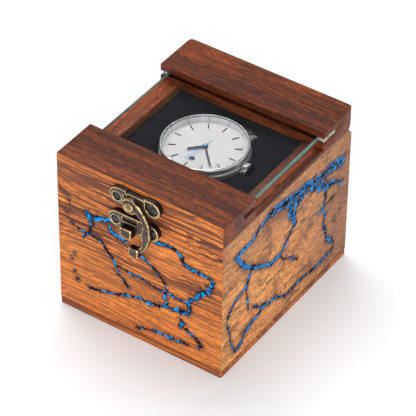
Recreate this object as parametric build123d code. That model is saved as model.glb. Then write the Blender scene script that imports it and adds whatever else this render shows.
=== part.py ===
"""Wooden display box for a wristwatch: glazed hinged lid, swing latch and resin-filled burn channels.

Frame: millimetres, +Z up, the front faces -Y, origin in the middle of the flat underside.
"""

import os
from math import cos, radians, sin, tan

from build123d import *

# ---- Box -------------------------------------------------------------------
box_width = 90.0
box_depth = 105.0
box_height = 77.6
wall = 10.0
base_thickness = 4.0
base_edge_radius = 0.6
base_corner_radius = 0.9
corner_radius = 0.6

# ---- Lid -------------------------------------------------------------------
lid_height = 11.9
front_bar_depth = 25.5
rear_bar_depth = 24.5
lower_lip = 5.1
glass_groove = 3.0
front_groove_depth = 9.2
rear_groove_depth = 10.5
front_bar_corner_radius = 0.6
rear_bar_corner_radius = 2.4
bar_top_radius = 0.45
rail_height = 2.2
rail_width = 10.0
tongue_width = 6.0
tongue_length = 6.0
glass_thickness = 2.4
glass_inset = 3.6
glass_end_gap = 0.8
glue_end_margin = 0.5
glue_void_radius = 1.0

# ---- Hinges ----------------------------------------------------------------
lid_opening = 98.0
hinge_inset = 3.1
hinge_length = 18.0
hinge_offset = 24.0
hinge_barrel_radius = 1.45
hinge_pin_radius = 0.6
hinge_leaf_reach = 4.9
hinge_leaf_thickness = 0.9
hinge_mortise_slack = 0.1
hinge_screw_radius = 0.7
hinge_screw_head = 1.25
hinge_screw_length = 5.0
hinge_screw_spread = 11.0

# ---- Swing latch -----------------------------------------------------------
plate_thickness = 3.0
plate_recess = 0.8
plate_rim = 1.1
dish_shift = 2.0
dish_lift = 1.2
dish_width = 3.4
dish_height = 4.5
lobe_radius = 4.3
lobe_spacing = 18.2
lobe_shoulder = 4.2
latch_waist_top = 3.4
waist_foot = 4.1
pit_margin = 0.35
dimple_radius = 0.9
dimple_offset = (4.4, 1.8)
trough_length = 8.0
trough_height = 2.8
plate_seam_gap = 2.0
catch_seam_gap = 3.1
catch_shift = -0.9
nail_head_radius = 2.0
nail_shank_radius = 0.6
nail_length = 6.5
nail_head_height = 0.7
nail_offset = 0.6
nail_drop = 0.6
rivet_x = -1.5
rivet_drop = 1.6
rivet_radius = 1.2
rivet_head_radius = 2.5
rivet_head_height = 1.3
hook_gap = 0.15
hook_thickness = 2.0
hook_ring_radius = 4.3
hook_outer_radius = 18.1
hook_outer_centre = (-7.0, -11.7)
hook_upper_bay_radius = 6.6
hook_upper_bay_centre = (0.3, -8.9)
hook_lower_bay_radius = 5.7
hook_lower_bay_centre = (0.9, -17.6)
hook_edge_chamfer = 0.5
tab_width = 5.4
tab_height = 5.4
tab_centre = (2.5, -25.0)
tab_thickness = 3.0
tab_corner_radius = 1.2
lug_width = 6.3
lug_height = 5.2
lug_x = -3.15
lug_drop = 5.0
lug_reach = 6.15
lug_edge_radius = 0.7

# ---- Cushion ---------------------------------------------------------------
cushion_drop = 1.1
cushion_side_gap = 0.3
cushion_edge_radius = 0.8
pocket_gap = 0.5
slot_length = 22.6
slot_setoff = 0.1
front_slot_width = 7.0
rear_slot_width = 4.4
slot_floor = 5.0
slot_margin = 0.5

# ---- Watch -----------------------------------------------------------------
watch_x = 0.2
watch_y = -1.2
watch_turn = -1.5
watch_back_drop = 3.7
case_radius = 21.1
case_wall = 3.3
case_back_thickness = 1.1
case_back_margin = 2.7
mid_case_height = 4.8
bezel_setback = 0.3
bezel_height = 3.2
bezel_rim = 1.1
crystal_seat = 1.0
crystal_dome = 0.35
dial_margin = 1.9
dial_thickness = 0.4
dial_recess = 0.15
flange_slope = 0.7
flange_lip = 0.2
index_margin = 2.3
index_length = 3.5
index_width = 0.5
index_height = 0.35
jewel_radius = 1.45
jewel_offset = 10.2
lug_reach_past_case = 3.4
lug_outer_width = 26.0
lug_gap = 20.6
watch_lug_height = 3.4
spring_bar_setback = 1.5
spring_bar_radius = 0.8
strap_width = 20.0
strap_thickness = 2.2
strap_bend_radius = 2.0
strap_return_gap = 0.9
strap_return_radius = 1.4
spring_bar_rise = 0.95
spring_bar_pin_radius = 0.45
strap_loop_wall = 1.0
rear_strap_end = 15.0
front_strap_return = 42.0
buckle_height = 9.0
buckle_wire = 1.5
hour_hand_length = 8.2
minute_hand_length = 14.4
seconds_hand_length = 13.5
seconds_hand_tail = 4.4
hour_hand_width = 1.6
minute_hand_width = 0.95
seconds_hand_width = 0.35
hand_thickness = 0.15
hand_spacing = 0.3
hour_post_radius = 0.9
minute_post_radius = 0.6
seconds_post_radius = 0.35
hand_hub_wall = 0.55
movement_margin = 0.4
movement_step = 1.8
movement_step_height = 1.6
shown_hour = 7
shown_minute = 22
shown_second = 31.5
crown_radius = 3.1
crown_length = 3.0
crown_gap = 0.3
crown_stem_radius = 0.75
crown_sleeve_radius = 1.5
crown_flutes = 24
stem_travel = 1.0

# ---- Fits ------------------------------------------------------------------
running_clearance = 0.05
end_clearance = 0.15
screw_clearance = 0.04
seat_gap = 0.05
overcut = 1.0

# ---- Burn channels ---------------------------------------------------------
channel_depth = 1.6
channel_wide = 1.7
channel_medium = 1.1
channel_fine = 0.6

# Each path runs through points in percent of the face's width and of its height.
FRONT_BURN = [
    (channel_wide, [(17, 81), (22, 79), (27, 80.5), (33, 82.5), (43, 82), (53, 84), (63, 82.5), (68, 83.5),
                    (72, 83), (76.5, 80), (76, 77.5), (79, 74.5), (86.5, 74), (92, 73.5), (94.5, 71.5),
                    (92.5, 63), (88, 60), (84, 53), (81, 49.5)]),
    (channel_wide, [(81, 49.5), (79.5, 46.5), (81.5, 43), (80, 39), (72, 37.5)]),
    (channel_medium, [(72, 37.5), (67.5, 36.5), (59, 33.5), (51, 33), (42, 31), (35.5, 27.5), (28, 25),
                      (18, 22.5)]),
    (channel_medium, [(18.5, 79.5), (21, 74), (20, 67.5), (18, 64), (15, 60)]),
    (channel_medium, [(12.5, 65.5), (19, 64.5), (23.5, 64.5), (27.5, 63), (33, 55), (36, 49.5)]),
    (channel_fine, [(36, 49.5), (37, 45), (43.5, 38)]),
    (channel_fine, [(36, 50.5), (44.5, 49), (49, 49.5), (58, 47.5), (69, 47.5), (79.5, 47)]),
    (channel_medium, [(51, 66.5), (55, 64), (61, 60), (64, 56), (66, 52.5)]),
    (channel_fine, [(66, 52.5), (66.5, 47.5), (65.5, 42), (67.5, 37)]),
    (channel_medium, [(31.5, 77), (34, 74), (38, 73), (42.5, 72)]),
    (channel_medium, [(74.5, 26), (77, 30.5), (75, 32)]),
    (channel_medium, [(78, 26.5), (84.5, 22.5), (88, 18.5), (86, 15)]),
    (channel_fine, [(48.5, 9.5), (55.5, 12), (61, 13), (69.5, 13), (80, 14.5)]),
]
SIDE_BURN = [
    (channel_wide, [(9, 84), (12, 85), (17, 84.5), (22.5, 85), (28, 89), (34, 91.5), (40, 92), (46, 90),
                    (53.5, 88.5), (58, 87), (61.5, 88)]),
    (channel_wide, [(61.5, 88), (65, 86), (73, 83), (81, 82.5), (88.5, 81.5), (93, 79)]),
    (channel_wide, [(10, 84), (12.5, 78.5), (18, 69.5), (22, 64.5), (29, 59), (36.5, 53.5), (44, 52.5)]),
    (channel_wide, [(44, 52.5), (46.5, 54.5), (51, 61), (56, 67), (52.5, 76), (52, 82.5), (51.5, 87.5)]),
    (channel_medium, [(57.5, 81), (61.5, 84), (65, 86), (69, 82), (76, 75.5), (81, 71.5), (84.5, 69)]),
    (channel_medium, [(84.5, 69), (90, 67), (94, 64), (91, 62)]),
    (channel_medium, [(81, 71.5), (80, 62), (79, 54), (81, 49), (79.5, 43.5), (81.5, 35), (83, 28),
                      (89.5, 20)]),
    (channel_fine, [(75, 56), (79.5, 57.5), (88, 58.5)]),
    (channel_wide, [(10.5, 11.5), (15, 13), (19, 19.5), (25, 21.5), (33.5, 25)]),
    (channel_medium, [(33.5, 25), (37, 22), (41, 22.5), (46.5, 18), (50, 15.5), (58, 16.5), (66.5, 16),
                      (71, 14.5), (80, 14), (89, 16)]),
    (channel_fine, [(10.5, 11.5), (7.5, 19), (6, 30), (3.8, 38.5)]),
    (channel_medium, [(4.3, 43), (7, 47.5), (12, 51.5), (18, 54), (20.5, 59.5), (22, 64.5)]),
    (channel_fine, [(18, 53), (19.5, 42), (20.5, 33.5)]),
    (channel_fine, [(23.5, 33.5), (30, 27), (33.5, 25)]),
    (channel_fine, [(44.5, 51.5), (48, 46), (54, 42), (59, 35)]),
]

# ---- Levels and places that follow from the sizes above -------------------
half_width = box_width / 2
half_depth = box_depth / 2
seam = box_height
lid_top = seam + lid_height
front_bar_back = -half_depth + front_bar_depth
rear_bar_front = half_depth - rear_bar_depth
groove_floor = seam + lower_lip
groove_ceiling = groove_floor + glass_groove
rail_top = seam + rail_height
hinge_y = half_depth - hinge_inset
bevel_height = hinge_inset * tan(radians(lid_opening / 2 + 1.0))

cavity_half_width = half_width - wall
cavity_half_depth = half_depth - wall
cushion_top = seam - cushion_drop

plate_middle = seam + plate_seam_gap + lobe_radius
catch_middle = seam - catch_seam_gap - lobe_radius
rivet_z = plate_middle - rivet_drop
hook_back = plate_thickness + hook_gap
lug_top = seam - catch_seam_gap - lug_drop

case_bore_radius = case_radius - case_wall
case_back_radius = case_radius - case_back_margin
bezel_radius = case_radius - bezel_setback
dial_radius = case_radius - dial_margin
flange_foot_radius = dial_radius - flange_slope
index_inner = dial_radius - index_margin - index_length
lug_span = case_radius + lug_reach_past_case
spring_bar_offset = lug_span - spring_bar_setback
slot_start = lug_span + slot_setoff
back_floor = cushion_top - watch_back_drop
case_floor = back_floor + case_back_thickness
case_ceiling = case_floor + mid_case_height
bezel_top = case_ceiling + bezel_height
crystal_floor = bezel_top - crystal_seat
crystal_radius = bezel_radius - bezel_rim
dial_top = case_ceiling - dial_recess
dial_floor = dial_top - dial_thickness
crown_z = case_floor + mid_case_height * 0.55
crown_start = case_radius + crown_gap
lug_floor = case_floor + 0.2
spring_bar_z = lug_floor + spring_bar_rise
strap_loop_radius = spring_bar_radius + strap_loop_wall
lug_room_floor = spring_bar_z - strap_loop_radius - pocket_gap
hour_level = dial_top + index_height + 0.1
minute_level = hour_level + hand_spacing
seconds_level = minute_level + hand_spacing

watch_place = Pos(watch_x, watch_y, 0) * Rot(0, 0, watch_turn)
front_face = Plane(origin=(0, -half_depth, 0), x_dir=(1, 0, 0), z_dir=(0, -1, 0))
rear_face = Plane(origin=(0, half_depth, 0), x_dir=(-1, 0, 0), z_dir=(0, 1, 0))
right_face = Plane(origin=(half_width, 0, 0), x_dir=(0, 1, 0), z_dir=(1, 0, 0))
left_face = Plane(origin=(-half_width, 0, 0), x_dir=(0, -1, 0), z_dir=(-1, 0, 0))


def block(x0, x1, y0, y1, z0, z1):
    """A box between two corners."""
    middle = Pos((x0 + x1) / 2, (y0 + y1) / 2, (z0 + z1) / 2)
    return middle * Box(x1 - x0, y1 - y0, z1 - z0)


def disc(radius, z0, z1, x=0.0, y=0.0):
    """An upright cylinder between two levels."""
    return Pos(x, y, (z0 + z1) / 2) * Cylinder(radius, z1 - z0)


def rod_x(radius, x0, x1, y, z):
    """A cylinder along X."""
    return Pos((x0 + x1) / 2, y, z) * Rot(0, 90, 0) * Cylinder(radius, x1 - x0)


def prism_x(points, x0, x1):
    """A side profile of (y, z) points, drawn out along X."""
    outline = make_face(Plane.YZ * Polyline(*points, close=True))
    return Pos(x0, 0, 0) * extrude(outline, x1 - x0, dir=(1, 0, 0))


def ring(profile_points):
    """A turned part from a profile of (radius, z) points."""
    outline = make_face(Plane.XZ * Polyline(*profile_points, close=True))
    return revolve(outline, Axis.Z)


# ---- Case of the box -------------------------------------------------------
def outer_form():
    """The rounded block that the walls and the base are shaped from."""
    return extrude(RectangleRounded(box_width, box_depth, corner_radius), box_height)


def rear_bevel(direction):
    """The wedge taken off above or below the seam, so that the lid can swing open."""
    apex = (hinge_y, seam)
    rim = (half_depth + 1, seam)
    slope = direction * bevel_height * (1 + 1 / hinge_inset)
    return prism_x([apex, rim, (half_depth + 1, seam + slope)], -half_width - 1, half_width + 1)


def hinge_recess(x, direction):
    """The mortise for one leaf and the hollow for its barrel."""
    reach = hinge_leaf_thickness + hinge_mortise_slack
    low, high = sorted((seam, seam + direction * reach))
    half = hinge_length / 2 + end_clearance
    mortise = block(x - half, x + half, hinge_y - hinge_leaf_reach - seat_gap, hinge_y, low, high)
    hollow = rod_x(hinge_barrel_radius + 0.3, x - half, x + half, hinge_y, seam)
    return mortise + hollow


def hinge_screw_places():
    """Where the screws of both hinges stand."""
    y = hinge_y - hinge_leaf_reach * 0.62
    for side in (-1, 1):
        for end in (-1, 1):
            yield side * hinge_offset + end * hinge_screw_spread / 2, y


def hinge_screw(x, y, direction):
    """A countersunk wood screw, its head flush with the leaf."""
    head_z = seam + direction * hinge_mortise_slack
    head = Cone(hinge_screw_radius, hinge_screw_head, hinge_leaf_thickness)
    shank = Cylinder(hinge_screw_radius, hinge_screw_length)
    down = Pos(0, 0, -hinge_leaf_thickness / 2) * head
    down += Pos(0, 0, -hinge_leaf_thickness - hinge_screw_length / 2) * shank
    turn = Rot(180, 0, 0) if direction > 0 else Rot(0, 0, 0)
    return Pos(x, y, head_z) * turn * down


def screw_hole(x, y, direction):
    """The pilot hole for one hinge screw."""
    tip = seam + direction * (hinge_mortise_slack + hinge_leaf_thickness + hinge_screw_length + 0.3)
    low, high = sorted((seam, tip))
    return disc(hinge_screw_radius + screw_clearance, low, high, x, y)


def hinge_cuts(direction):
    """Everything that the hinges take out of the wood on one side of the seam."""
    cuts = rear_bevel(direction)
    for side in (-1, 1):
        cuts += hinge_recess(side * hinge_offset, direction)
    for x, y in hinge_screw_places():
        cuts += screw_hole(x, y, direction)
    return cuts


def burn_channels(paths, face, face_width, mirrored=False):
    """The branching channel of one face, as a solid let into the wood from that face."""
    sign = -1 if mirrored else 1
    drawing = Sketch()
    for width, percents in paths:
        spots = [(sign * (u - 50) / 100 * face_width, v / 100 * box_height) for u, v in percents]
        drawing += trace(Polyline(*spots), width)
    return extrude(face * drawing, -channel_depth)


def wall_board(points):
    """One mitred wall standing on the base."""
    board = extrude(make_face(Polyline(*points, close=True)), box_height - base_thickness)
    return (Pos(0, 0, base_thickness) * board) & outer_form()


def make_walls():
    """Four mitred walls and the resin that fills their burn channels."""
    outside = [(-half_width, -half_depth), (half_width, -half_depth),
               (half_width, half_depth), (-half_width, half_depth)]
    inside = [(-cavity_half_width, -cavity_half_depth), (cavity_half_width, -cavity_half_depth),
              (cavity_half_width, cavity_half_depth), (-cavity_half_width, cavity_half_depth)]
    sides = {
        "front": (0, FRONT_BURN, front_face, box_width, False),
        "right": (1, SIDE_BURN, right_face, box_depth, False),
        "rear": (2, FRONT_BURN, rear_face, box_width, True),
        "left": (3, SIDE_BURN, left_face, box_depth, True),
    }
    parts = {}
    hinges = hinge_cuts(-1)
    for name, (first, paths, face, width, mirrored) in sides.items():
        second = (first + 1) % 4
        board = wall_board([outside[first], outside[second], inside[second], inside[first]])
        board -= hinges
        resin = burn_channels(paths, face, width, mirrored) & board
        board -= resin
        if name == "front":
            board -= nail_holes(catch_nail_places())
        parts[f"{name}_wall"] = board
        parts[f"{name}_resin_inlay"] = resin
    return parts


def make_base():
    """The bottom board, with its lower edges eased."""
    board = extrude(RectangleRounded(box_width, box_depth, base_corner_radius), base_thickness)
    return fillet(board.faces().sort_by(Axis.Z)[0].edges(), base_edge_radius)


# ---- Lid -------------------------------------------------------------------
def bar_body(y0, y1, corner):
    """One thick cross bar of the lid with rounded outer corners and an eased top."""
    bar = block(-half_width, half_width, y0, y1, seam, lid_top)
    outer = bar.edges().filter_by(Axis.Z).sort_by(lambda edge: abs(edge.center().Y))[-2:]
    bar = fillet(outer, corner)
    return fillet(bar.faces().sort_by(Axis.Z)[-1].edges(), bar_top_radius)


def tongue_notches(gap):
    """The tongues of the side rails, or with a gap the housings that take them."""
    centre = cavity_half_width + rail_width / 2
    shapes = []
    for side in (-1, 1):
        x0 = side * centre - tongue_width / 2 - gap
        x1 = side * centre + tongue_width / 2 + gap
        y0 = front_bar_back - tongue_length - gap
        y1 = rear_bar_front + tongue_length + gap
        shapes.append(block(x0, x1, y0, y1, seam, rail_top + gap))
    return shapes


def make_lid_bars():
    """Front and rear bar, grooved for the glass and housed for the rails."""
    front = bar_body(-half_depth, front_bar_back, front_bar_corner_radius)
    rear = bar_body(rear_bar_front, half_depth, rear_bar_corner_radius)
    front -= block(-half_width - 1, half_width + 1, front_bar_back - front_groove_depth,
                   front_bar_back + 1, groove_floor, groove_ceiling)
    rear -= block(-half_width - 1, half_width + 1, rear_bar_front - 1,
                  rear_bar_front + rear_groove_depth, groove_floor, groove_ceiling)
    for housing in tongue_notches(seat_gap):
        front -= housing
        rear -= housing
    front -= nail_holes(latch_nail_places())
    front -= Pos(rivet_x, 0, rivet_z) * rivet_tail(screw_clearance)
    rear -= hinge_cuts(1)
    return {"lid_front_bar": front, "lid_rear_bar": rear}


def make_rails():
    """The two low side rails that tie the bars together under the glass."""
    parts = {}
    for name, side, tongue in zip(("lid_left_rail", "lid_right_rail"), (-1, 1), tongue_notches(0)):
        x0, x1 = sorted((side * cavity_half_width, side * (cavity_half_width + rail_width)))
        rail = block(x0, x1, front_bar_back + seat_gap, rear_bar_front - seat_gap, seam, rail_top)
        outer = rail.faces().sort_by(Axis.X)[0 if side < 0 else -1]
        upper_edge = outer.edges().sort_by(Axis.Z)[-1]
        rail = fillet(upper_edge, rail_height * 0.3)
        parts[name] = rail + tongue
    return parts


def glass_limits():
    """Front and rear end of the pane, inside the grooves."""
    front = front_bar_back - front_groove_depth + glass_end_gap
    rear = rear_bar_front + rear_groove_depth - glass_end_gap
    return front, rear


def make_glass():
    """The window pane, with ground edges, lying on the lower lips."""
    front, rear = glass_limits()
    half = half_width - glass_inset
    pane = block(-half, half, front, rear, groove_floor, groove_floor + glass_thickness)
    return chamfer(pane.edges().filter_by(Axis.Y), glass_thickness * 0.08)


def make_glue():
    """Clear glue behind both ends of the pane and in the open ends of the rear groove."""
    front, rear = glass_limits()
    half = half_width - glass_inset
    limit = half_width - glue_end_margin
    front_bead = block(-half, half, front - glass_end_gap, front, groove_floor, groove_ceiling)
    rear_end = rear + glass_end_gap
    rear_bead = block(-half, half, rear, rear_end, groove_floor, groove_ceiling)
    beads = [front_bead, rear_bead]
    for side in (-1, 1):
        x0, x1 = sorted((side * half, side * limit))
        plug = block(x0, x1, rear_bar_front + 1.0, rear_end, groove_floor, groove_ceiling)
        middle = (groove_floor + groove_ceiling) / 2
        void_y = rear_bar_front + rear_groove_depth * 0.45
        plug -= rod_x(glue_void_radius, x0 - 1, x1 + 1, void_y, middle)
        beads.append(plug)
    return Compound(beads)


# ---- Hinges ----------------------------------------------------------------
def hinge_leaf(x, direction, barrel_spans):
    """A leaf with its barrel pieces, rolled round the pin."""
    near = seam + direction * hinge_mortise_slack
    low, high = sorted((near, near + direction * hinge_leaf_thickness))
    half = hinge_length / 2
    leaf = block(x - half, x + half, hinge_y - hinge_leaf_reach, hinge_y, low, high)
    leaf -= rod_x(hinge_barrel_radius + end_clearance, x - half - 1, x + half + 1, hinge_y, seam)
    for start, end in barrel_spans:
        leaf += rod_x(hinge_barrel_radius, x + start, x + end, hinge_y, seam)
        leaf += block(x + start, x + end, hinge_y - hinge_barrel_radius - 0.5,
                      hinge_y - hinge_barrel_radius * 0.5, low, high)
    for screw_x, screw_y in hinge_screw_places():
        if abs(screw_x - x) < half:
            sink = Cone(hinge_screw_radius + screw_clearance, hinge_screw_head + screw_clearance,
                        hinge_leaf_thickness)
            turn = Rot(180, 0, 0) if direction > 0 else Rot(0, 0, 0)
            leaf -= Pos(screw_x, screw_y, (low + high) / 2) * turn * sink
    return leaf


def make_hinges():
    """Two butt hinges: the leaf on the box keeps the pin, the leaf on the lid turns on it."""
    parts = {}
    third = hinge_length / 3
    half = hinge_length / 2
    gap = end_clearance / 2
    box_spans = [(-half, -third / 2 - gap), (third / 2 + gap, half)]
    lid_spans = [(-third / 2 + gap, third / 2 - gap)]
    for side, name in ((-1, "left"), (1, "right")):
        x = side * hinge_offset
        ends = (x - half - 1, x + half + 1)
        tight_bore = rod_x(hinge_pin_radius, *ends, hinge_y, seam)
        free_bore = rod_x(hinge_pin_radius + running_clearance, *ends, hinge_y, seam)
        parts[f"{name}_hinge_box_leaf"] = hinge_leaf(x, -1, box_spans) - tight_bore
        parts[f"{name}_hinge_lid_leaf"] = hinge_leaf(x, 1, lid_spans) - free_bore
        parts[f"{name}_hinge_pin"] = rod_x(hinge_pin_radius, x - half, x + half, hinge_y, seam)
    for node, direction in (("hinge_box_screws", -1), ("hinge_lid_screws", 1)):
        screws = [hinge_screw(x, y, direction) for x, y in hinge_screw_places()]
        parts[node] = Compound(screws)
    return parts


# ---- Swing latch -----------------------------------------------------------
def on_front(sketch, level, thickness):
    """Draw something out from a level in front of the front face."""
    return extrude(front_face.offset(level) * sketch, thickness)


def plate_outline(middle_x, middle_z, waist_top):
    """The two-lobed outline of both plates; only the upper edge between the lobes differs."""
    shift = lobe_spacing / 2
    shoulder_z = middle_z + lobe_radius / 2
    outline = Pos(middle_x, middle_z + (waist_top - waist_foot) / 2) \
        * Rectangle(lobe_spacing, waist_top + waist_foot)
    for side in (-1, 1):
        outline += Pos(middle_x + side * shift, middle_z) * Circle(lobe_radius)
        outline += Pos(middle_x + side * (shift - lobe_shoulder / 2), shoulder_z) \
            * Rectangle(lobe_shoulder, lobe_radius)
    return outline


def nail_place_pair(middle_x, middle_z):
    """The nail places of one plate."""
    reach = lobe_spacing / 2 + nail_offset
    return [(middle_x + side * reach, middle_z - nail_drop) for side in (-1, 1)]


def latch_nail_places():
    return nail_place_pair(0, plate_middle)


def catch_nail_places():
    return nail_place_pair(catch_shift, catch_middle)


def nail_holes(places):
    """Pilot holes for the nails of one plate."""
    holes = Sketch() + [Pos(x, z) * Circle(nail_shank_radius + screw_clearance) for x, z in places]
    return on_front(holes, -nail_length, nail_length + 1)


def hollowed(plate, sketch):
    """Sink a recess with a flat floor into the face of a plate."""
    return plate - on_front(sketch, plate_thickness - plate_recess, plate_recess + overcut)


def bossed_plate(middle_x, middle_z, places, waist_top):
    """A cast plate with a round pit in its left lobe and a drop-shaped one in its right lobe."""
    plate = on_front(plate_outline(middle_x, middle_z, waist_top), 0, plate_thickness)
    left_nail, right_nail = places
    plate = hollowed(plate, Pos(*left_nail) * Circle(nail_head_radius + pit_margin))
    lobe_x = middle_x + lobe_spacing / 2
    drop = Pos(lobe_x, middle_z) * Circle(lobe_radius - plate_rim)
    drop += Pos(lobe_x - dish_shift, middle_z + dish_lift) * Rectangle(dish_width, dish_height)
    plate = hollowed(plate, drop)
    for x, z in places:
        hole = Pos(x, z) * Circle(nail_shank_radius + screw_clearance)
        plate -= on_front(hole, -overcut, plate_thickness + 2 * overcut)
    return plate


def domed_head(x, z, level, radius, height):
    """A low domed head on the front, turned from a few straight facets."""
    profile = [(0, 0), (radius, 0), (radius, height * 0.3), (radius * 0.87, height * 0.66),
               (radius * 0.52, height * 0.93), (0, height)]
    return front_face.offset(level).location * Pos(x, z, 0) * ring(profile)


def nails(places):
    """Round-headed nails seated on the recess floors."""
    floor = plate_thickness - plate_recess
    solids = []
    for x, z in places:
        shank = on_front(Pos(x, z) * Circle(nail_shank_radius), floor - nail_length, nail_length)
        solids.append(shank + domed_head(x, z, floor, nail_head_radius, nail_head_height))
    return Compound(solids)


def rivet_tail(clearance):
    """The shank of the rivet inside the bar, drawn at the rivet's own axis."""
    shank = Cylinder(rivet_radius + clearance, nail_length)
    return Pos(0, -half_depth + nail_length / 2, 0) * Rot(90, 0, 0) * shank


def make_rivet():
    """The pivot of the hook: a shank through the plate under a low domed head."""
    centre = Pos(rivet_x, rivet_z)
    head_floor = hook_back + hook_thickness + hook_gap
    reach = nail_length - 2 * end_clearance
    shank = on_front(centre * Circle(rivet_radius), -reach, reach + head_floor)
    return shank + domed_head(rivet_x, rivet_z, head_floor, rivet_head_radius, rivet_head_height)


def make_catch_plate():
    """The lower plate: a trough along its upper rim and the stout lug that the hook swings round."""
    plate = bossed_plate(catch_shift, catch_middle, catch_nail_places(), lobe_radius)
    trough_start = catch_shift - lobe_spacing / 2 + lobe_radius - plate_rim
    trough_top = catch_middle + lobe_radius - plate_rim
    trough = Pos(trough_start + trough_length / 2, trough_top - trough_height / 2) \
        * Rectangle(trough_length, trough_height)
    plate = hollowed(plate, trough)
    lug_shape = RectangleRounded(lug_width, lug_height, lug_edge_radius * 1.3)
    start = plate_thickness * 0.3
    lug = on_front(Pos(lug_x, lug_top - lug_height / 2) * lug_shape, start, lug_reach - start)
    outer_edges = lug.faces().sort_by(Axis.Y)[0].edges()
    return plate + fillet(outer_edges, lug_edge_radius)


def make_latch_plate():
    """The upper plate: a dimple beside its left pit and the hole for the rivet."""
    places = latch_nail_places()
    plate = bossed_plate(0, plate_middle, places, latch_waist_top)
    plate = hollowed(plate, Pos(*places[0]) * Pos(*dimple_offset) * Circle(dimple_radius))
    hole = Pos(rivet_x, rivet_z) * Circle(rivet_radius + screw_clearance)
    return plate - on_front(hole, -overcut, plate_thickness + 2 * overcut)


def make_hook():
    """The crescent hook: ring, bow with a heel between its two bays, and thumb tab."""
    centre = Pos(rivet_x, rivet_z)
    bow = Pos(*hook_outer_centre) * Circle(hook_outer_radius)
    bow -= Pos(*hook_upper_bay_centre) * Circle(hook_upper_bay_radius)
    bow -= Pos(*hook_lower_bay_centre) * Circle(hook_lower_bay_radius)
    tab_x, tab_z = tab_centre
    keep = Pos(hook_outer_radius / 2, tab_z / 2 + hook_ring_radius / 2) \
        * Rectangle(hook_outer_radius, hook_ring_radius - tab_z)
    bow &= keep
    shape = bow + Circle(hook_ring_radius)
    body = on_front(centre * shape, hook_back, hook_thickness)
    face_edges = body.faces().sort_by(Axis.Y)[0].edges()
    body = chamfer(face_edges, hook_edge_chamfer)
    tab = on_front(centre * Pos(tab_x, tab_z) * RectangleRounded(tab_width, tab_height, tab_corner_radius),
                   hook_back, tab_thickness)
    tab_edges = tab.faces().sort_by(Axis.Y)[0].edges()
    body += chamfer(tab_edges, hook_edge_chamfer)
    bore = centre * Circle(rivet_radius + running_clearance)
    return body - on_front(bore, hook_back - overcut, hook_thickness + 2 * overcut)


# ---- Cushion ---------------------------------------------------------------
def strap_drop_y(end):
    """Where the strap hangs in the slot in front of (-1) or behind (1) the watch."""
    return end * (slot_start + slot_margin + strap_thickness / 2)


def make_cushion():
    """The padded block that fills the box, dished for the watch and slotted for its strap."""
    half_x = cavity_half_width - cushion_side_gap
    half_y = cavity_half_depth - cushion_side_gap
    pad = block(-half_x, half_x, -half_y, half_y, base_thickness, cushion_top)
    pad = fillet(pad.edges().group_by(Axis.Z)[-1], cushion_edge_radius)
    above = cushion_top + 1
    room = disc(case_radius + pocket_gap, lug_floor - pocket_gap, above)
    room += disc(case_back_radius + pocket_gap, back_floor, above)
    lug_room = lug_outer_width / 2 + pocket_gap
    lug_reach_y = lug_span + pocket_gap
    room += block(-lug_room, lug_room, -lug_reach_y, lug_reach_y, lug_room_floor, above)
    crown_room = crown_radius + pocket_gap
    crown_end = crown_start + crown_length + stem_travel + pocket_gap
    room += block(0, crown_end, -crown_room, crown_room, crown_z - crown_room, above)
    for end, width in ((-1, front_slot_width), (1, rear_slot_width)):
        y0, y1 = sorted((end * slot_start, end * (slot_start + width)))
        room += block(-slot_length / 2, slot_length / 2, y0, y1, slot_floor, above)
    return pad - watch_place * room


# ---- Watch -----------------------------------------------------------------
def watch_lug(side, end):
    """One horn of the case, curving down past the spring bar."""
    inner = lug_gap / 2
    outer = lug_outer_width / 2
    top = lug_floor + watch_lug_height
    root = case_radius * 0.72
    profile = [(root, lug_floor + 0.6), (root, top + 0.4), (case_radius - 1.5, top + 0.2),
               (lug_span - 1.6, lug_floor + watch_lug_height * 0.62), (lug_span, lug_floor + 0.9),
               (lug_span - 0.6, lug_floor), (case_radius, lug_floor)]
    points = [(end * y, z) for y, z in profile]
    x0, x1 = sorted((side * inner, side * outer))
    return prism_x(points, x0, x1)


def make_case():
    """The middle case: a turned band with four horns and a hole for the stem."""
    band = ring([(case_bore_radius, case_floor), (case_radius - 0.8, case_floor),
                 (case_radius, case_floor + 0.9), (case_radius, case_ceiling - 0.5),
                 (case_radius - 0.3, case_ceiling), (dial_radius + seat_gap, case_ceiling),
                 (dial_radius + seat_gap, dial_floor), (case_bore_radius, dial_floor)])
    horns = Part() + [watch_lug(side, end) for side in (-1, 1) for end in (-1, 1)]
    horns -= disc(case_bore_radius + 0.5, case_floor - 1, case_ceiling + 1)
    reach = lug_outer_width / 2 - 0.6
    bars = [rod_x(spring_bar_pin_radius + running_clearance, -reach, reach,
                  end * spring_bar_offset, spring_bar_z) for end in (-1, 1)]
    stem_hole = rod_x(crown_sleeve_radius, 0, case_radius + 1, 0, crown_z)
    case = band + horns - stem_hole
    for bar in bars:
        case -= bar
    return case


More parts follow.
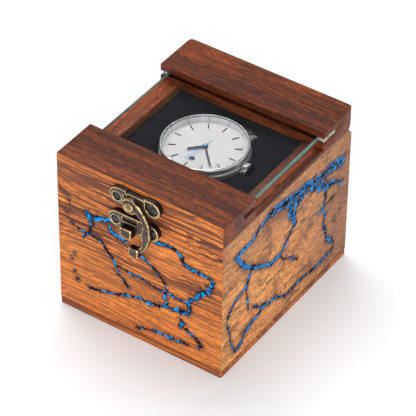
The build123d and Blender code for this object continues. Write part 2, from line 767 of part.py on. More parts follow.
def make_case_parts():
    """Back, bezel, crystal, flange, dial and what stands on the dial."""
    back = ring([(0, back_floor), (case_back_radius - 0.6, back_floor),
                 (case_back_radius, back_floor + 0.6), (case_back_radius, case_floor),
                 (case_bore_radius - seat_gap, case_floor), (case_bore_radius - seat_gap, case_floor + 0.4),
                 (0, case_floor + 0.4)])
    bezel = ring([(dial_radius + 0.2, case_ceiling), (bezel_radius - 0.4, case_ceiling),
                  (bezel_radius, case_ceiling + 0.5), (bezel_radius - 0.15, bezel_top - 0.8),
                  (bezel_radius - 0.6, bezel_top - 0.15), (bezel_radius - 0.9, bezel_top),
                  (crystal_radius, bezel_top), (crystal_radius, crystal_floor),
                  (dial_radius + 0.2, crystal_floor)])
    lens_radius = crystal_radius - seat_gap
    lens = ring([(0, crystal_floor), (lens_radius, crystal_floor), (lens_radius, bezel_top - 0.05),
                 (lens_radius - 0.5, bezel_top + 0.15), (lens_radius * 0.5, bezel_top + crystal_dome * 0.85),
                 (0, bezel_top + crystal_dome)])
    flange_top = crystal_floor - seat_gap
    flange = ring([(flange_foot_radius, dial_top), (dial_radius, dial_top), (dial_radius, flange_top),
                   (dial_radius - flange_lip, flange_top)])
    post_hole = disc(hour_post_radius + running_clearance, dial_floor - 1, dial_top + 1)
    dial = disc(dial_radius, dial_floor, dial_top) - post_hole
    batons = []
    for hour in range(12):
        baton = Pos(0, index_inner + index_length / 2, dial_top + index_height / 2) \
            * Box(index_width, index_length, index_height)
        top_edges = baton.edges().group_by(Axis.Z)[-1]
        batons.append(Rot(0, 0, -30 * hour) * chamfer(top_edges, index_width * 0.2))
    jewel = ring([(0, dial_top), (jewel_radius, dial_top), (jewel_radius, dial_top + 0.15),
                  (jewel_radius * 0.6, dial_top + 0.32), (0, dial_top + 0.38)])
    return {
        "watch_case_back": back,
        "watch_bezel": bezel,
        "watch_crystal": lens,
        "dial_flange": flange,
        "watch_dial": dial,
        "dial_batons": Compound(batons),
        "dial_jewel": Pos(0, -jewel_offset, 0) * jewel,
    }


def make_movement():
    """The closed movement and the stepped post that carries the hands."""
    floor = case_floor + 0.5
    rim = case_bore_radius - movement_margin
    step = rim - movement_step
    step_top = floor + movement_step_height
    plate = ring([(0, floor), (step, floor), (step, step_top), (rim, step_top), (rim, dial_floor),
                  (0, dial_floor)])
    stem_room = rod_x(crown_stem_radius + 0.2, case_bore_radius * 0.45, case_radius, 0, crown_z)
    above_hand = hand_thickness + running_clearance
    post = disc(hour_post_radius, dial_floor, hour_level + above_hand)
    post += disc(minute_post_radius, hour_level, minute_level + above_hand)
    post += disc(seconds_post_radius, minute_level, seconds_level + above_hand)
    return {"watch_movement": plate - stem_room, "hand_post": post}


def hand(length, width, tail, post_radius, level, angle):
    """One hand lying at its level and turned to the time shown."""
    outline = Pos(0, (length - tail) / 2) * Rectangle(width, length + tail)
    outline += Circle(post_radius + hand_hub_wall)
    outline -= Circle(post_radius + running_clearance)
    return Pos(0, 0, level) * Rot(0, 0, -angle) * extrude(outline, hand_thickness)


def make_hands():
    """Hour, minute and seconds hand."""
    minute_angle = (shown_minute + shown_second / 60) * 6
    hour_angle = (shown_hour + shown_minute / 60) * 30
    return {
        "hour_hand": hand(hour_hand_length, hour_hand_width, 0, hour_post_radius, hour_level, hour_angle),
        "minute_hand": hand(minute_hand_length, minute_hand_width, 0, minute_post_radius, minute_level,
                            minute_angle),
        "seconds_hand": hand(seconds_hand_length, seconds_hand_width, seconds_hand_tail,
                             seconds_post_radius, seconds_level, shown_second * 6),
    }


def make_crown():
    """The stem on its slide and the fluted crown that turns on the stem's end."""
    sleeve = rod_x(crown_sleeve_radius - seat_gap, case_bore_radius + 0.3, crown_start - 0.4, 0, crown_z)
    sleeve -= rod_x(crown_stem_radius + running_clearance, 0, crown_start + 1, 0, crown_z)
    stem_end = crown_start + crown_length * 0.7
    stem = rod_x(crown_stem_radius, case_bore_radius * 0.5, stem_end, 0, crown_z)
    outline = Circle(crown_radius)
    for tooth in range(crown_flutes):
        turn = 360 * tooth / crown_flutes
        spot = Pos(crown_radius * cos(radians(turn)), crown_radius * sin(radians(turn)))
        outline -= spot * Rot(0, 0, turn) * RegularPolygon(crown_radius * 0.07, 4)
    lay = Pos(crown_start, 0, crown_z) * Rot(0, 90, 0)
    knob = lay * extrude(outline, crown_length)
    knob &= Rot(0, 90, 0) * ring([(0, crown_start), (crown_radius - 0.35, crown_start),
                                  (crown_radius, crown_start + 0.35),
                                  (crown_radius, crown_start + crown_length - 0.5),
                                  (crown_radius - 0.5, crown_start + crown_length),
                                  (0, crown_start + crown_length)]).moved(Pos(-crown_z, 0, 0))
    knob -= rod_x(crown_stem_radius + running_clearance, 0, stem_end + seat_gap, 0, crown_z)
    return {"crown_sleeve": sleeve, "winding_stem": stem, "watch_crown": knob}


def strap_strip(points, radii):
    """A strap of even thickness that follows a path of (y, z) points."""
    path = FilletPolyline(*[(y, z) for y, z in points], radius=radii)
    band = trace(path, strap_thickness)
    strip = extrude(Plane.YZ * band, strap_width)
    return Pos(-strap_width / 2, 0, 0) * strip


def strap_half(end):
    """One half of the strap, from its spring bar over the slot's edge and down."""
    y_bar = end * spring_bar_offset
    y_down = strap_drop_y(end)
    loop = rod_x(strap_loop_radius, -strap_width / 2, strap_width / 2, y_bar, spring_bar_z)
    bore = rod_x(spring_bar_radius + seat_gap, -strap_width, strap_width, y_bar, spring_bar_z)
    if end > 0:
        points = [(y_bar, spring_bar_z), (y_down, spring_bar_z), (y_down, rear_strap_end)]
        strip = strap_strip(points, strap_bend_radius)
    else:
        floor = slot_floor + slot_margin + strap_thickness / 2
        y_back = y_down + end * (strap_thickness + strap_return_gap)
        points = [(y_bar, spring_bar_z), (y_down, spring_bar_z), (y_down, floor), (y_back, floor),
                  (y_back, front_strap_return)]
        strip = strap_strip(points, strap_return_radius)
    return strip + loop - bore


def make_strap():
    """Spring bars, both halves of the strap and the buckle at the rear half's end."""
    parts = {"front_strap": strap_half(-1), "rear_strap": strap_half(1)}
    length = lug_outer_width / 2 - 0.7
    barrel = lug_gap / 2 - 0.2
    bars = []
    for end in (-1, 1):
        y = end * spring_bar_offset
        bars.append(rod_x(spring_bar_pin_radius, -length, length, y, spring_bar_z)
                    + rod_x(spring_bar_radius, -barrel, barrel, y, spring_bar_z))
    parts["spring_bars"] = Compound(bars)
    y = strap_drop_y(1)
    top = rear_strap_end - seat_gap
    frame = block(-slot_length / 2 + 0.6, slot_length / 2 - 0.6, y - buckle_wire / 2, y + buckle_wire / 2,
                  top - buckle_height, top)
    frame -= block(-strap_width / 2, strap_width / 2, y - buckle_wire, y + buckle_wire,
                   top - buckle_height + buckle_wire, top - buckle_wire)
    tongue = block(-0.9, 0.9, y + buckle_wire / 2, y + buckle_wire / 2 + 0.9, top - buckle_height, top)
    parts["strap_buckle"] = frame + tongue
    return parts


# ---- Everything together ---------------------------------------------------
def make_parts():
    """All nodes by name."""
    parts = {"base_board": make_base()}
    parts.update(make_walls())
    parts.update(make_lid_bars())
    parts.update(make_rails())
    parts["glass_pane"] = make_glass()
    parts["glass_glue"] = make_glue()
    parts.update(make_hinges())
    parts["catch_plate"] = make_catch_plate()
    parts["catch_nails"] = nails(catch_nail_places())
    parts["latch_plate"] = make_latch_plate()
    parts["latch_nails"] = nails(latch_nail_places())
    parts["latch_rivet"] = make_rivet()
    parts["latch_hook"] = make_hook()
    parts["display_cushion"] = make_cushion()
    watch = {"watch_case": make_case()}
    watch.update(make_case_parts())
    watch.update(make_movement())
    watch.update(make_hands())
    watch.update(make_crown())
    watch.update(make_strap())
    for name, part in watch.items():
        parts[name] = watch_place * part
    return parts


os.makedirs("parts", exist_ok=True)
for name, part in make_parts().items():
    export_step(part, f"parts/{name}.step")
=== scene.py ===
"""Looks of a watch display box: burnt and resin-filled boards, glazed lid, cast latch, watch on suede."""

import math
from functools import partialmethod

import bmesh
import bpy
import numpy as np
from mathutils import Matrix, Vector, noise
from mathutils.bvhtree import BVHTree


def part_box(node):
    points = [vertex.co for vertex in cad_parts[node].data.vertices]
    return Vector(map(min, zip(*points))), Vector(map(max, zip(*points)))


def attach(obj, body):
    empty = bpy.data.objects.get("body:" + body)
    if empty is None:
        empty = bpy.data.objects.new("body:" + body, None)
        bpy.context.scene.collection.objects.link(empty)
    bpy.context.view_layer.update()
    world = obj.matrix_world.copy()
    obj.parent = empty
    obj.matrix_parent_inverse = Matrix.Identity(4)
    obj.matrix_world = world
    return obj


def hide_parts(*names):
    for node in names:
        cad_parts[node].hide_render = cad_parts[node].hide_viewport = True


bl_info = {
    "name": "Watch Display Box",
    "version": (1, 0, 0),
    "blender": (4, 5, 0),
    "location": "View3D > Sidebar > Watch Box",
    "description": "Builds the boards, resin, latch, glass, pad and watch of a display box",
    "category": "Object",
}

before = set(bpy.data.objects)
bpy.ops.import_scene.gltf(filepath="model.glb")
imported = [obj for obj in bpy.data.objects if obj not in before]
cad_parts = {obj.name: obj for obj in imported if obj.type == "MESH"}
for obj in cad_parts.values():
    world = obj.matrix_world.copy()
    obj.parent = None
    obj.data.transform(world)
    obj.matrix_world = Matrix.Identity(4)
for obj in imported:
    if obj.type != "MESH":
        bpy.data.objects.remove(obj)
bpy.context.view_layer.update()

BOX_LOW, BOX_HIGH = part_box("lid_front_bar")
SEAM = BOX_LOW.z
HALF_WIDTH = BOX_HIGH.x
HALF_DEPTH = -BOX_LOW.y
BASE_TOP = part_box("base_board")[1].z
BOARD_THICKNESS = 0.010
HINGE_BEVEL, HINGE_SETBACK = math.radians(50), 0.0031
BASE_GAP = 0.00004
RESIN_PROUD = 0.00005
# Each side: its name, its turn in degrees, the axis across its face and the face's place on that axis.
SIDES = (("front", 0, 1, -HALF_DEPTH), ("right", 90, 0, HALF_WIDTH), ("rear", 180, 1, HALF_DEPTH),
         ("left", 270, 0, -HALF_WIDTH))
# How far the crust and the resin reach past a channel, in millimetres.
FRONT_SPREAD, SIDE_SPREAD = 0.25, 2.2
WATCH_CENTRE = Vector((0.0002, -0.0012, 0.0))
WATCH_TURN = math.radians(-1.5)
CAMERA_AT = Vector((0.517711, -0.767194, 0.822775))
CAMERA_AZIMUTH, CAMERA_ELEVATION, CAMERA_ROLL = (math.radians(value) for value in (33.94, 40.118, 0.792))
CAMERA_LENS = 227.35
LAMP_AIM = Vector((0.0, 0.0, 0.045))
KEY_AWAY, KEY_SIZE = Vector((-0.34, 0.26, 0.94)), 0.70
FILL_AWAY, FILL_SIZE = Vector((0.62, -0.75, 0.34)), 0.80
CHAR = (0.009, 0.007, 0.010)
SCORCHED = (0.085, 0.028, 0.018)
BURN_SEED = 4  # noise vectors follow the clock unless they are given a seed
# Each speck: x and z in metres, radius in millimetres.
FRONT_SPECKS = ((-0.0400, 0.0670, 0.35), (-0.0390, 0.0645, 0.15), (-0.0400, 0.0570, 0.1),
                (-0.0370, 0.0520, 0.4), (-0.0360, 0.0350, 0.3), (-0.0380, 0.0310, 0.15),
                (-0.0360, 0.0235, 0.2), (-0.0345, 0.0200, 0.3))
TONES = ("light", "middle", "dark")
WOODS = {"box": ((0.865, 0.275, 0.053), (0.780, 0.222, 0.046), (0.105, 0.029, 0.017)),
         "side": ((1.000, 0.450, 0.132), (0.880, 0.335, 0.102), (0.112, 0.044, 0.027)),
         "lid": ((0.292, 0.0575, 0.0105), (0.160, 0.0288, 0.0060), (0.028, 0.009, 0.006))}


# ---- Sizes and colours a user would change ---------------------------------
def colour_setting(name, description, value):
    return bpy.props.FloatVectorProperty(name=name, description=description, default=value, size=3,
                                         subtype="COLOR", min=0, max=1)


def length_setting(name, description, value, most):
    return bpy.props.FloatProperty(name=name, description=description, default=value, min=0.00002, max=most,
                                   unit="LENGTH")


def power_setting(name, description, value):
    return bpy.props.FloatProperty(name=name, description=description, default=value, min=0, max=100,
                                   unit="POWER")


class BoardSettings(bpy.types.PropertyGroup):
    corner_round: length_setting("Corner Round", "Radius of the boards' outer edges", 0.0004, 0.002)
    bar_round: length_setting("Bar Edge Round", "Softening of the lid bars' sharp edges", 0.00015, 0.001)
    cells: bpy.props.IntProperty(
        name="Face Cells", description="Rows and columns of faces in each board's outer face",
        default=196, min=20, max=240)


class WoodColours(bpy.types.PropertyGroup):
    __annotations__ = {
        f"{wood}_{tone}": colour_setting(f"{wood} {tone}".title(), f"The {tone} tone of this wood", value)
        for wood, values in WOODS.items() for tone, value in zip(TONES, values)}


class ResinSettings(bpy.types.PropertyGroup):
    blue: colour_setting("Resin Blue", "Bright colour of the resin", (0.000, 0.330, 0.830))
    deep: colour_setting("Resin Deep", "Colour where the resin is thin over char", (0.000, 0.145, 0.520))
    voxel: length_setting("Resin Detail", "Cell size of the resin's mesh", 0.00032, 0.002)
    waviness: length_setting("Resin Waviness", "How far the resin's outline wanders", 0.0003, 0.002)


class LatchSettings(bpy.types.PropertyGroup):
    voxel: length_setting("Casting Detail", "Cell size of the cast pieces' meshes", 0.00017, 0.001)
    bright: colour_setting("Worn Brass", "Colour of rubbed edges", (0.78, 0.56, 0.27))
    patina: colour_setting("Dark Patina", "Colour of the aged surface", (0.062, 0.044, 0.038))


class PadSettings(bpy.types.PropertyGroup):
    voxel: length_setting("Pad Detail", "Cell size of the suede pad's mesh", 0.0013, 0.005)
    swell: length_setting("Pad Swell", "Most that the padded top may rise", 0.0005, 0.001)
    suede: colour_setting("Suede", "Colour of the suede", (0.0060, 0.0056, 0.0090))


class WatchSettings(bpy.types.PropertyGroup):
    dial: colour_setting("Dial", "Silver of the dial", (0.628, 0.564, 0.578))
    edge: length_setting("Watch Edge", "Bevel on the watch's edges", 0.00012, 0.0005)


class StageSettings(bpy.types.PropertyGroup):
    sky: bpy.props.FloatProperty(
        name="Room Light", description="Strength of the light from all round", default=0.50, min=0.0, max=2.0)
    key: power_setting("Key Light", "Power of the large lamp", 6.0)
    fill: power_setting("Fill Light", "Power of the side lamp", 6.6)


def settings():
    """The settings that the operators read."""
    return bpy.context.scene.watch_box


# ---- Mesh helpers ----------------------------------------------------------
def deselect_all():
    for thing in bpy.context.selected_objects:
        thing.select_set(False)


def activate(piece):
    deselect_all()
    bpy.context.view_layer.objects.active = piece
    piece.select_set(True)


def place(piece):
    """Bake the object's own transform into its mesh."""
    activate(piece)
    bpy.ops.object.transform_apply(location=True, rotation=True, scale=True)


def apply_modifier(piece, kind, **values):
    activate(piece)
    modifier = piece.modifiers.new(kind.title(), kind)
    for key, value in values.items():
        setattr(modifier, key, value)
    bpy.ops.object.modifier_apply(modifier=modifier.name)


def edit(piece, *steps):
    """Run edit-mode steps on one piece with everything selected first."""
    activate(piece)
    bpy.ops.object.mode_set(mode="EDIT")
    bpy.ops.mesh.select_all(action="SELECT")
    for step in steps:
        step()
    bpy.ops.object.mode_set(mode="OBJECT")


def linked(name, data):
    """A new object in the scene."""
    item = bpy.data.objects.new(name, data)
    bpy.context.scene.collection.objects.link(item)
    return item


def copy_of_node(name, node, dissolve=True):
    """A copy of a CAD node as a new piece, with its doubled points merged."""
    piece = linked(name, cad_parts[node].data.copy())
    piece.data.materials.clear()
    edit(piece, lambda: bpy.ops.mesh.remove_doubles(threshold=0.000004))
    if dissolve:
        edit(piece, lambda: bpy.ops.mesh.dissolve_limited(angle_limit=math.radians(0.6)))
    return piece


def block(name, low, high):
    """A plain box between two corners."""
    deselect_all()
    bpy.ops.mesh.primitive_cube_add(size=1.0, location=(low + high) / 2, scale=high - low)
    piece = bpy.context.active_object
    piece.name = name
    place(piece)
    return piece


def lathe(name, profile, centre, steps=180):
    """Turn a closed outline of (radius, height) millimetres about the upright axis through the centre."""
    mesh = bpy.data.meshes.new(name)
    points = [(radius / 1000, 0.0, height / 1000) for radius, height in profile]
    mesh.from_pydata(points, [(index, (index + 1) % len(points)) for index in range(len(points))], [])
    piece = linked(name, mesh)
    edit(piece,
         lambda: bpy.ops.mesh.spin(steps=steps, angle=2 * math.pi, center=(0, 0, 0), axis=(0, 0, 1)),
         lambda: bpy.ops.mesh.select_all(action="SELECT"),
         lambda: bpy.ops.mesh.remove_doubles(threshold=0.000002),
         lambda: bpy.ops.mesh.dissolve_degenerate(threshold=0.000001),
         lambda: bpy.ops.mesh.normals_make_consistent(inside=False))
    piece.location = centre
    place(piece)
    return piece


def smooth_by_angle(piece, degrees=35):
    activate(piece)
    bpy.ops.object.shade_smooth_by_angle(angle=math.radians(degrees))


def soften(piece, width, segments=2):
    """Round every edge sharper than 30 degrees."""
    apply_modifier(piece, "BEVEL", width=width, segments=segments, limit_method="ANGLE",
                   angle_limit=math.radians(30), miter_outer="MITER_ARC", harden_normals=False)
    smooth_by_angle(piece)
    return piece


def recast(piece, voxel, smooth):
    """Turn a hard solid into an even skin, as a casting or a pour has."""
    piece.data.remesh_voxel_size = voxel
    piece.data.remesh_voxel_adaptivity = 0
    activate(piece)
    bpy.ops.object.voxel_remesh()
    apply_modifier(piece, "SMOOTH", factor=0.5, iterations=smooth)
    activate(piece)
    bpy.ops.object.shade_smooth()
    return piece


def per_vertex(mesh, label, kind):
    values = np.empty(len(mesh.vertices) * 3, kind)
    mesh.vertices.foreach_get(label, values)
    return values.reshape(-1, 3)


def coordinates(piece):
    return per_vertex(piece.data, "co", np.float64)


def normals(piece):
    return per_vertex(piece.data, "normal", np.float32)


def set_coordinates(piece, values):
    piece.data.vertices.foreach_set("co", np.ascontiguousarray(values, np.float32).ravel())
    piece.data.update()


def store(piece, name, values):
    """Keep one number per vertex under a name that a material reads."""
    attribute = piece.data.attributes.new(name, "FLOAT", "POINT")
    attribute.data.foreach_set("value", np.ascontiguousarray(values, np.float32))


def mark_relief(piece, reach=0.00030, passes=12):
    """Store how far each point stands out from (1) or lies below (0) its surroundings."""
    mesh = piece.data
    count = len(mesh.vertices)
    ends = np.empty(len(mesh.edges) * 2, np.int32)
    mesh.edges.foreach_get("vertices", ends)
    first, second = ends.reshape(-1, 2).T
    places = coordinates(piece)
    number = np.bincount(first, minlength=count) + np.bincount(second, minlength=count)
    even = places
    for _ in range(passes):
        total = even.copy()
        for axis in range(3):
            total[:, axis] += np.bincount(first, even[second, axis], count)
            total[:, axis] += np.bincount(second, even[first, axis], count)
        even = total / (number + 1)[:, None]
    relief = ((places - even) * normals(piece)).sum(1)
    store(piece, "relief", np.clip(0.5 + relief / reach, 0, 1))


def finish_piece(piece, body, material, node):
    """Hand a piece to its body, its material and the CAD node that it stands for."""
    piece.data.materials.clear()
    piece.data.materials.append(material)
    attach(piece, body)
    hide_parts(node)


# ---- Material helpers ------------------------------------------------------
class Wiring:
    """Short calls for building one node tree."""

    def __init__(self, tree):
        self.tree = tree
        self.shader = tree.nodes.get("Principled BSDF")
        self.column = 0

    def add(self, kind, **values):
        node = self.tree.nodes.new(kind)
        self.column += 1
        node.location = (self.column * 60, -(self.column % 7) * 120)
        for key, value in values.items():
            setattr(node, key, value)
        return node

    def feed(self, source, socket):
        """Link an output to the socket, or set a plain value or colour on it."""
        if hasattr(source, "is_output"):
            self.tree.links.new(source, socket)
        elif socket.type == "RGBA" and len(source) == 3:
            socket.default_value = (*source, 1.0)
        else:
            socket.default_value = source

    def node(self, kind, feeds, output=0, **values):
        """Add a node with its sockets fed by label or number, and return one output, or all for None."""
        node = self.add(kind, **values)
        for key, value in feeds.items():
            self.feed(value, node.inputs[key])
        return node.outputs if output is None else node.outputs[output]

    def math(self, operation, *values):
        return self.node("ShaderNodeMath", dict(enumerate(values)), operation=operation)

    times = partialmethod(math, "MULTIPLY")
    plus = partialmethod(math, "ADD")
    minus = partialmethod(math, "SUBTRACT")
    larger = partialmethod(math, "MAXIMUM")

    def fall(self, value, low, high):
        """1 below the low level, 0 above the high one."""
        return self.band(value, low, high, 1.0, 0.0)

    def apart(self, first, second=0.5):
        """How far two values lie apart."""
        return self.math("ABSOLUTE", self.minus(first, second))

    def long_side(self, x, y):
        return self.math("SQRT", self.plus(self.times(x, x), self.times(y, y)))

    def scaled(self, vector, factors):
        factors = factors if hasattr(factors, "__len__") else (factors,) * 3
        return self.node("ShaderNodeVectorMath", {0: vector, 1: factors}, operation="MULTIPLY")

    def shifted(self, vector, offset):
        return self.node("ShaderNodeVectorMath", {0: vector, 1: offset}, operation="ADD")

    def mapped(self, vector, vector_type="POINT", **values):
        feeds = {label.title(): value for label, value in values.items()}
        return self.node("ShaderNodeMapping", {"Vector": vector, **feeds}, vector_type=vector_type)

    def noise(self, vector, scale, detail=3.0, roughness=0.5, distortion=0.0):
        return self.node("ShaderNodeTexNoise", {"Vector": vector, "Scale": scale, "Detail": detail,
                                                "Roughness": roughness, "Distortion": distortion}, "Fac")

    def cells(self, vector, scale, feature, output):
        return self.node("ShaderNodeTexVoronoi", {"Vector": vector, "Scale": scale}, output, feature=feature)

    def band(self, value, low, high, from_value=0.0, to_value=1.0, smooth=True):
        """Carry the levels between low and high over to the two values, and hold them beyond."""
        return self.node("ShaderNodeMapRange", {"Value": value, "From Min": low, "From Max": high,
                                                "To Min": from_value, "To Max": to_value}, "Result",
                         interpolation_type="SMOOTHSTEP" if smooth else "LINEAR")

    def mix(self, factor, first, second, blend="MIX"):
        return self.node("ShaderNodeMix", {0: factor, 6: first, 7: second}, 2, data_type="RGBA",
                         blend_type=blend)

    def mix_value(self, factor, first, second):
        return self.node("ShaderNodeMix", {0: factor, 2: first, 3: second}, data_type="FLOAT")

    def bump(self, height, strength, distance):
        return self.node("ShaderNodeBump", {"Strength": strength, "Distance": distance, "Height": height})

    def attribute(self, name):
        return self.node("ShaderNodeAttribute", {}, "Fac", attribute_type="GEOMETRY", attribute_name=name)

    def coordinate(self, kind):
        return self.node("ShaderNodeTexCoord", {}, kind)

    def position_mm(self):
        """Object coordinates in millimetres."""
        return self.scaled(self.coordinate("Object"), 1000.0)

    def split(self, vector):
        return self.node("ShaderNodeSeparateXYZ", {0: vector}, None)

    def join(self, x, y, z):
        return self.node("ShaderNodeCombineXYZ", {0: x, 1: y, 2: z})

    def use(self, group, **values):
        feeds = {key.replace("_", " ").title(): value for key, value in values.items()}
        return self.node("ShaderNodeGroup", feeds, None, node_tree=group)

    def ray(self, kind):
        return self.node("ShaderNodeLightPath", {}, f"Is {kind} Ray")

    def seen_plainly(self):
        """1 for the rays that show a surface itself: straight, mirrored or through glass."""
        return self.larger(self.ray("Camera"), self.larger(self.ray("Glossy"), self.ray("Transmission")))

    def paint(self, tone, rough=None, normal=None):
        """Give the Principled shader its colour, roughness and normal."""
        for label, value in (("Base Color", tone), ("Roughness", rough), ("Normal", normal)):
            if value is not None:
                self.feed(value, self.shader.inputs[label])

    def finish(self, kind, *parts):
        """Join two shaders, after a factor where there is one, and link the result to the tree's output."""
        end = next(item for item in self.tree.nodes if item.bl_idname.startswith("ShaderNodeOutput"))
        self.feed(self.node(kind, dict(enumerate(parts))), end.inputs["Surface"])


def shade(tone, factor):
    return tuple(factor * value for value in tone)


def shared_group(place_label, colours=(), values=()):
    """Make a function hand out the node group that it fills, which is built on its first use."""
    def share(fill):
        def group():
            name = fill.__name__
            if name in bpy.data.node_groups:
                return bpy.data.node_groups[name]
            tree = bpy.data.node_groups.new(name, "ShaderNodeTree")
            for labels, kind in (((place_label,), "Vector"), (colours, "Color"), (values, "Float")):
                for label in labels:
                    tree.interface.new_socket(label, in_out="INPUT", socket_type=f"NodeSocket{kind}")
            w = Wiring(tree)
            results = fill(w, w.add("NodeGroupInput").outputs)
            for label in results:
                kind = "Color" if label == "Color" else "Float"
                tree.interface.new_socket(label, in_out="OUTPUT", socket_type=f"NodeSocket{kind}")
            ends = w.add("NodeGroupOutput").inputs
            for label, value in results.items():
                w.feed(value, ends[label])
            return tree
        return group
    return share


def new_material(name, **plain):
    """A material with a Principled shader whose plain values are set on its own sockets."""
    material = bpy.data.materials.new(name)
    material.use_nodes = True
    w = Wiring(material.node_tree)
    for key, value in plain.items():
        w.feed(value, w.shader.inputs[key.replace("_", " ").title().replace("Ior", "IOR")])
    return material, w


def cloudy_material(name, cloud, colours, rough=None, relief=None, stretch=1.0, **plain):
    """A surface clouded by one noise.

    cloud is the noise's scale, detail and roughness; colours and rough are the noise's low and high level
    and what they stand for; relief is the bump's strength and distance.
    """
    material, w = new_material(name, **plain)
    tone = w.noise(w.scaled(w.position_mm(), stretch), *cloud)
    low, high, first, second = colours
    w.paint(w.mix(w.band(tone, low, high), first, second), rough and w.band(tone, *rough),
            relief and w.bump(tone, *relief))
    return material


# ---- Shared shader groups --------------------------------------------------
@shared_group("Grain Place", ("Light", "Middle", "Dark"), ("Wander", "Lines", "Pores", "Patches", "Flakes"))
def timber_figure(w, given):
    """Bands, long thin lines, short pores and slow colour drift of sawn wood, with the grain along X."""
    def drawn_out(place_mm, along, across, *look):
        return w.noise(w.scaled(place_mm, (along, across, across)), 1.0, *look)

    start, dark = given["Grain Place"], given["Dark"]
    drift = w.minus(drawn_out(start, 0.013, 0.028, 2.0), 0.5)
    ripple = w.minus(drawn_out(start, 0.10, 0.10, 2.0), 0.5)
    wander = w.times(given["Wander"], w.math("MULTIPLY_ADD", ripple, 0.12, drift))
    moved = w.shifted(start, w.join(0.0, wander, wander))
    bands = drawn_out(moved, 0.006, 0.11, 3.0, 0.55)
    density = drawn_out(moved, 0.010, 0.07, 2.0)
    fine = drawn_out(moved, 0.05, 2.0, 2.0, 0.75)
    pores = w.band(drawn_out(moved, 0.24, 2.9, 1.0, 0.6), 0.585, 0.645)
    flake = w.band(drawn_out(moved, 0.35, 1.6, 3.0, 0.75), 0.36, 0.64, 0.66, 1.36)
    patches = w.band(drawn_out(moved, 0.035, 0.075, 5.0, 0.65, 0.5), 0.51, 0.63)
    tone = w.mix(w.band(bands, 0.38, 0.60), given["Middle"], given["Light"])
    tone = w.mix(w.times(patches, given["Patches"]), tone, dark)
    grain = w.times(w.mix_value(given["Flakes"], 1.0, flake),
                    w.band(fine, 0.32, 0.68, 0.72, 1.26, smooth=False))
    tone = w.mix(1.0, tone, w.join(grain, grain, grain), "MULTIPLY")
    for along, across, sparse, dense, least, share in ((0.007, 0.34, 0.34, 0.52, 0.45, 0.95),
                                                       (0.015, 1.15, 0.38, 0.56, 0.48, 0.74)):
        lines = w.fall(w.apart(drawn_out(moved, along, across, 2.0, 0.6)), 0.030, 0.070)
        lines = w.times(lines, w.band(density, sparse, dense, least, 1.0))
        tone = w.mix(w.times(lines, w.times(given["Lines"], share)), tone, dark)
    speckle = w.times(pores, given["Pores"])
    return {"Color": w.mix(speckle, tone, dark), "Roughness": w.band(fine, 0.3, 0.7, 0.58, 0.40),
            "Height": w.minus(1.0, w.math("MULTIPLY_ADD", lines, 0.4, speckle))}


@shared_group("Place", ("Wood", "Bright", "Deep"), ("Distance", "Spread"))
def burnt_channel(w, given):
    """Beads of resin in a crust of char, from the signed distance to the channel's edge in millimetres."""
    spot, reach = given["Place"], given["Spread"]
    ragged = w.noise(spot, 0.80, 4.0, 0.62)
    side = w.noise(w.shifted(spot, (31.0, 17.0, 5.0)), 0.80, 3.0, 0.6)
    edge = w.math("MULTIPLY_ADD", w.minus(ragged, 0.5), -1.5, given["Distance"])
    edge = w.plus(edge, w.band(w.noise(spot, 0.085, 2.0), 0.36, 0.62, -0.32, 0.25))
    beyond = w.minus(edge, reach)
    bent = w.shifted(spot, w.scaled(w.join(ragged, side, ragged), 2.2))
    depth = w.cells(bent, 0.30, "DISTANCE_TO_EDGE", "Distance")
    lot, tone, _ = w.split(w.cells(bent, 0.30, "F1", "Color"))
    crack = w.times(w.fall(w.apart(w.noise(spot, 0.30, 3.0, 0.6)), 0.006, 0.022), w.fall(edge, 0.8, 3.2))
    inside = w.fall(edge, -0.34, -0.16)
    inset = w.math("MULTIPLY_ADD", inside, w.band(reach, 0.3, 1.2, 0.06, -0.03), depth)
    border = w.fall(inset, 0.085, 0.135)
    kept = w.math("GREATER_THAN", lot, w.mix_value(inside, 0.50, w.band(reach, 0.3, 1.2, 0.12, 0.26)))
    resin = w.times(w.times(w.fall(beyond, -0.10, 0.10), kept), w.minus(1.0, border))
    lace = w.times(border, w.fall(beyond, 0.15, 0.55))
    char = w.larger(w.larger(w.fall(edge, 0.02, 0.26), lace), crack)
    crust = w.mix(char, w.mix(w.band(beyond, 0.1, 2.0, 0.42, 0.0), given["Wood"], SCORCHED), CHAR)
    blue = w.mix(w.band(w.plus(tone, ragged), 0.55, 1.25), given["Deep"], given["Bright"])
    return {"Color": w.mix(resin, crust, blue), "Resin": resin, "Char": char, "Height": w.times(resin, depth)}


@shared_group("Place", ("Bright", "Patina"), ("Relief",))
def brass_patina(w, given):
    """Aged brass: dark patina in the hollows, deepened to near black there as painted shade, and rubbed
    bright on what stands out.
    """
    cloud = w.noise(given["Place"], 0.55, 4.0, 0.6)
    grit = w.noise(given["Place"], 4.0, 3.0, 0.6)
    level = w.plus(given["Relief"], w.times(w.minus(cloud, 0.5), 0.32))
    worn = w.band(level, 0.55, 0.72)
    aged = w.mix(w.band(cloud, 0.35, 0.65), given["Patina"], (0.150, 0.108, 0.090))
    tone = w.mix(worn, aged, given["Bright"])
    # Painted shade: the hollows go to near black on top of their dark patina.
    hollow_shade = w.band(level, 0.30, 0.47, 0.85, 0.0)
    return {"Color": w.mix(hollow_shade, tone, (0.018, 0.015, 0.013)), "Height": grit,
            "Roughness": w.minus(w.band(grit, 0.3, 0.7, 0.34, 0.50), w.times(worn, 0.12))}


@shared_group("Lines Place", values=("Base Rough",))
def steel_brushing(w, given):
    """Fine scratches that run one way."""
    lines = w.noise(w.scaled(given["Lines Place"], (0.4, 14.0, 14.0)), 1.0, 3.0, 0.6)
    return {"Color": w.mix(w.band(lines, 0.3, 0.7), (0.66, 0.65, 0.67), (0.80, 0.79, 0.80)), "Height": lines,
            "Roughness": w.plus(given["Base Rough"], w.band(lines, 0.2, 0.8, 0.0, 0.14))}


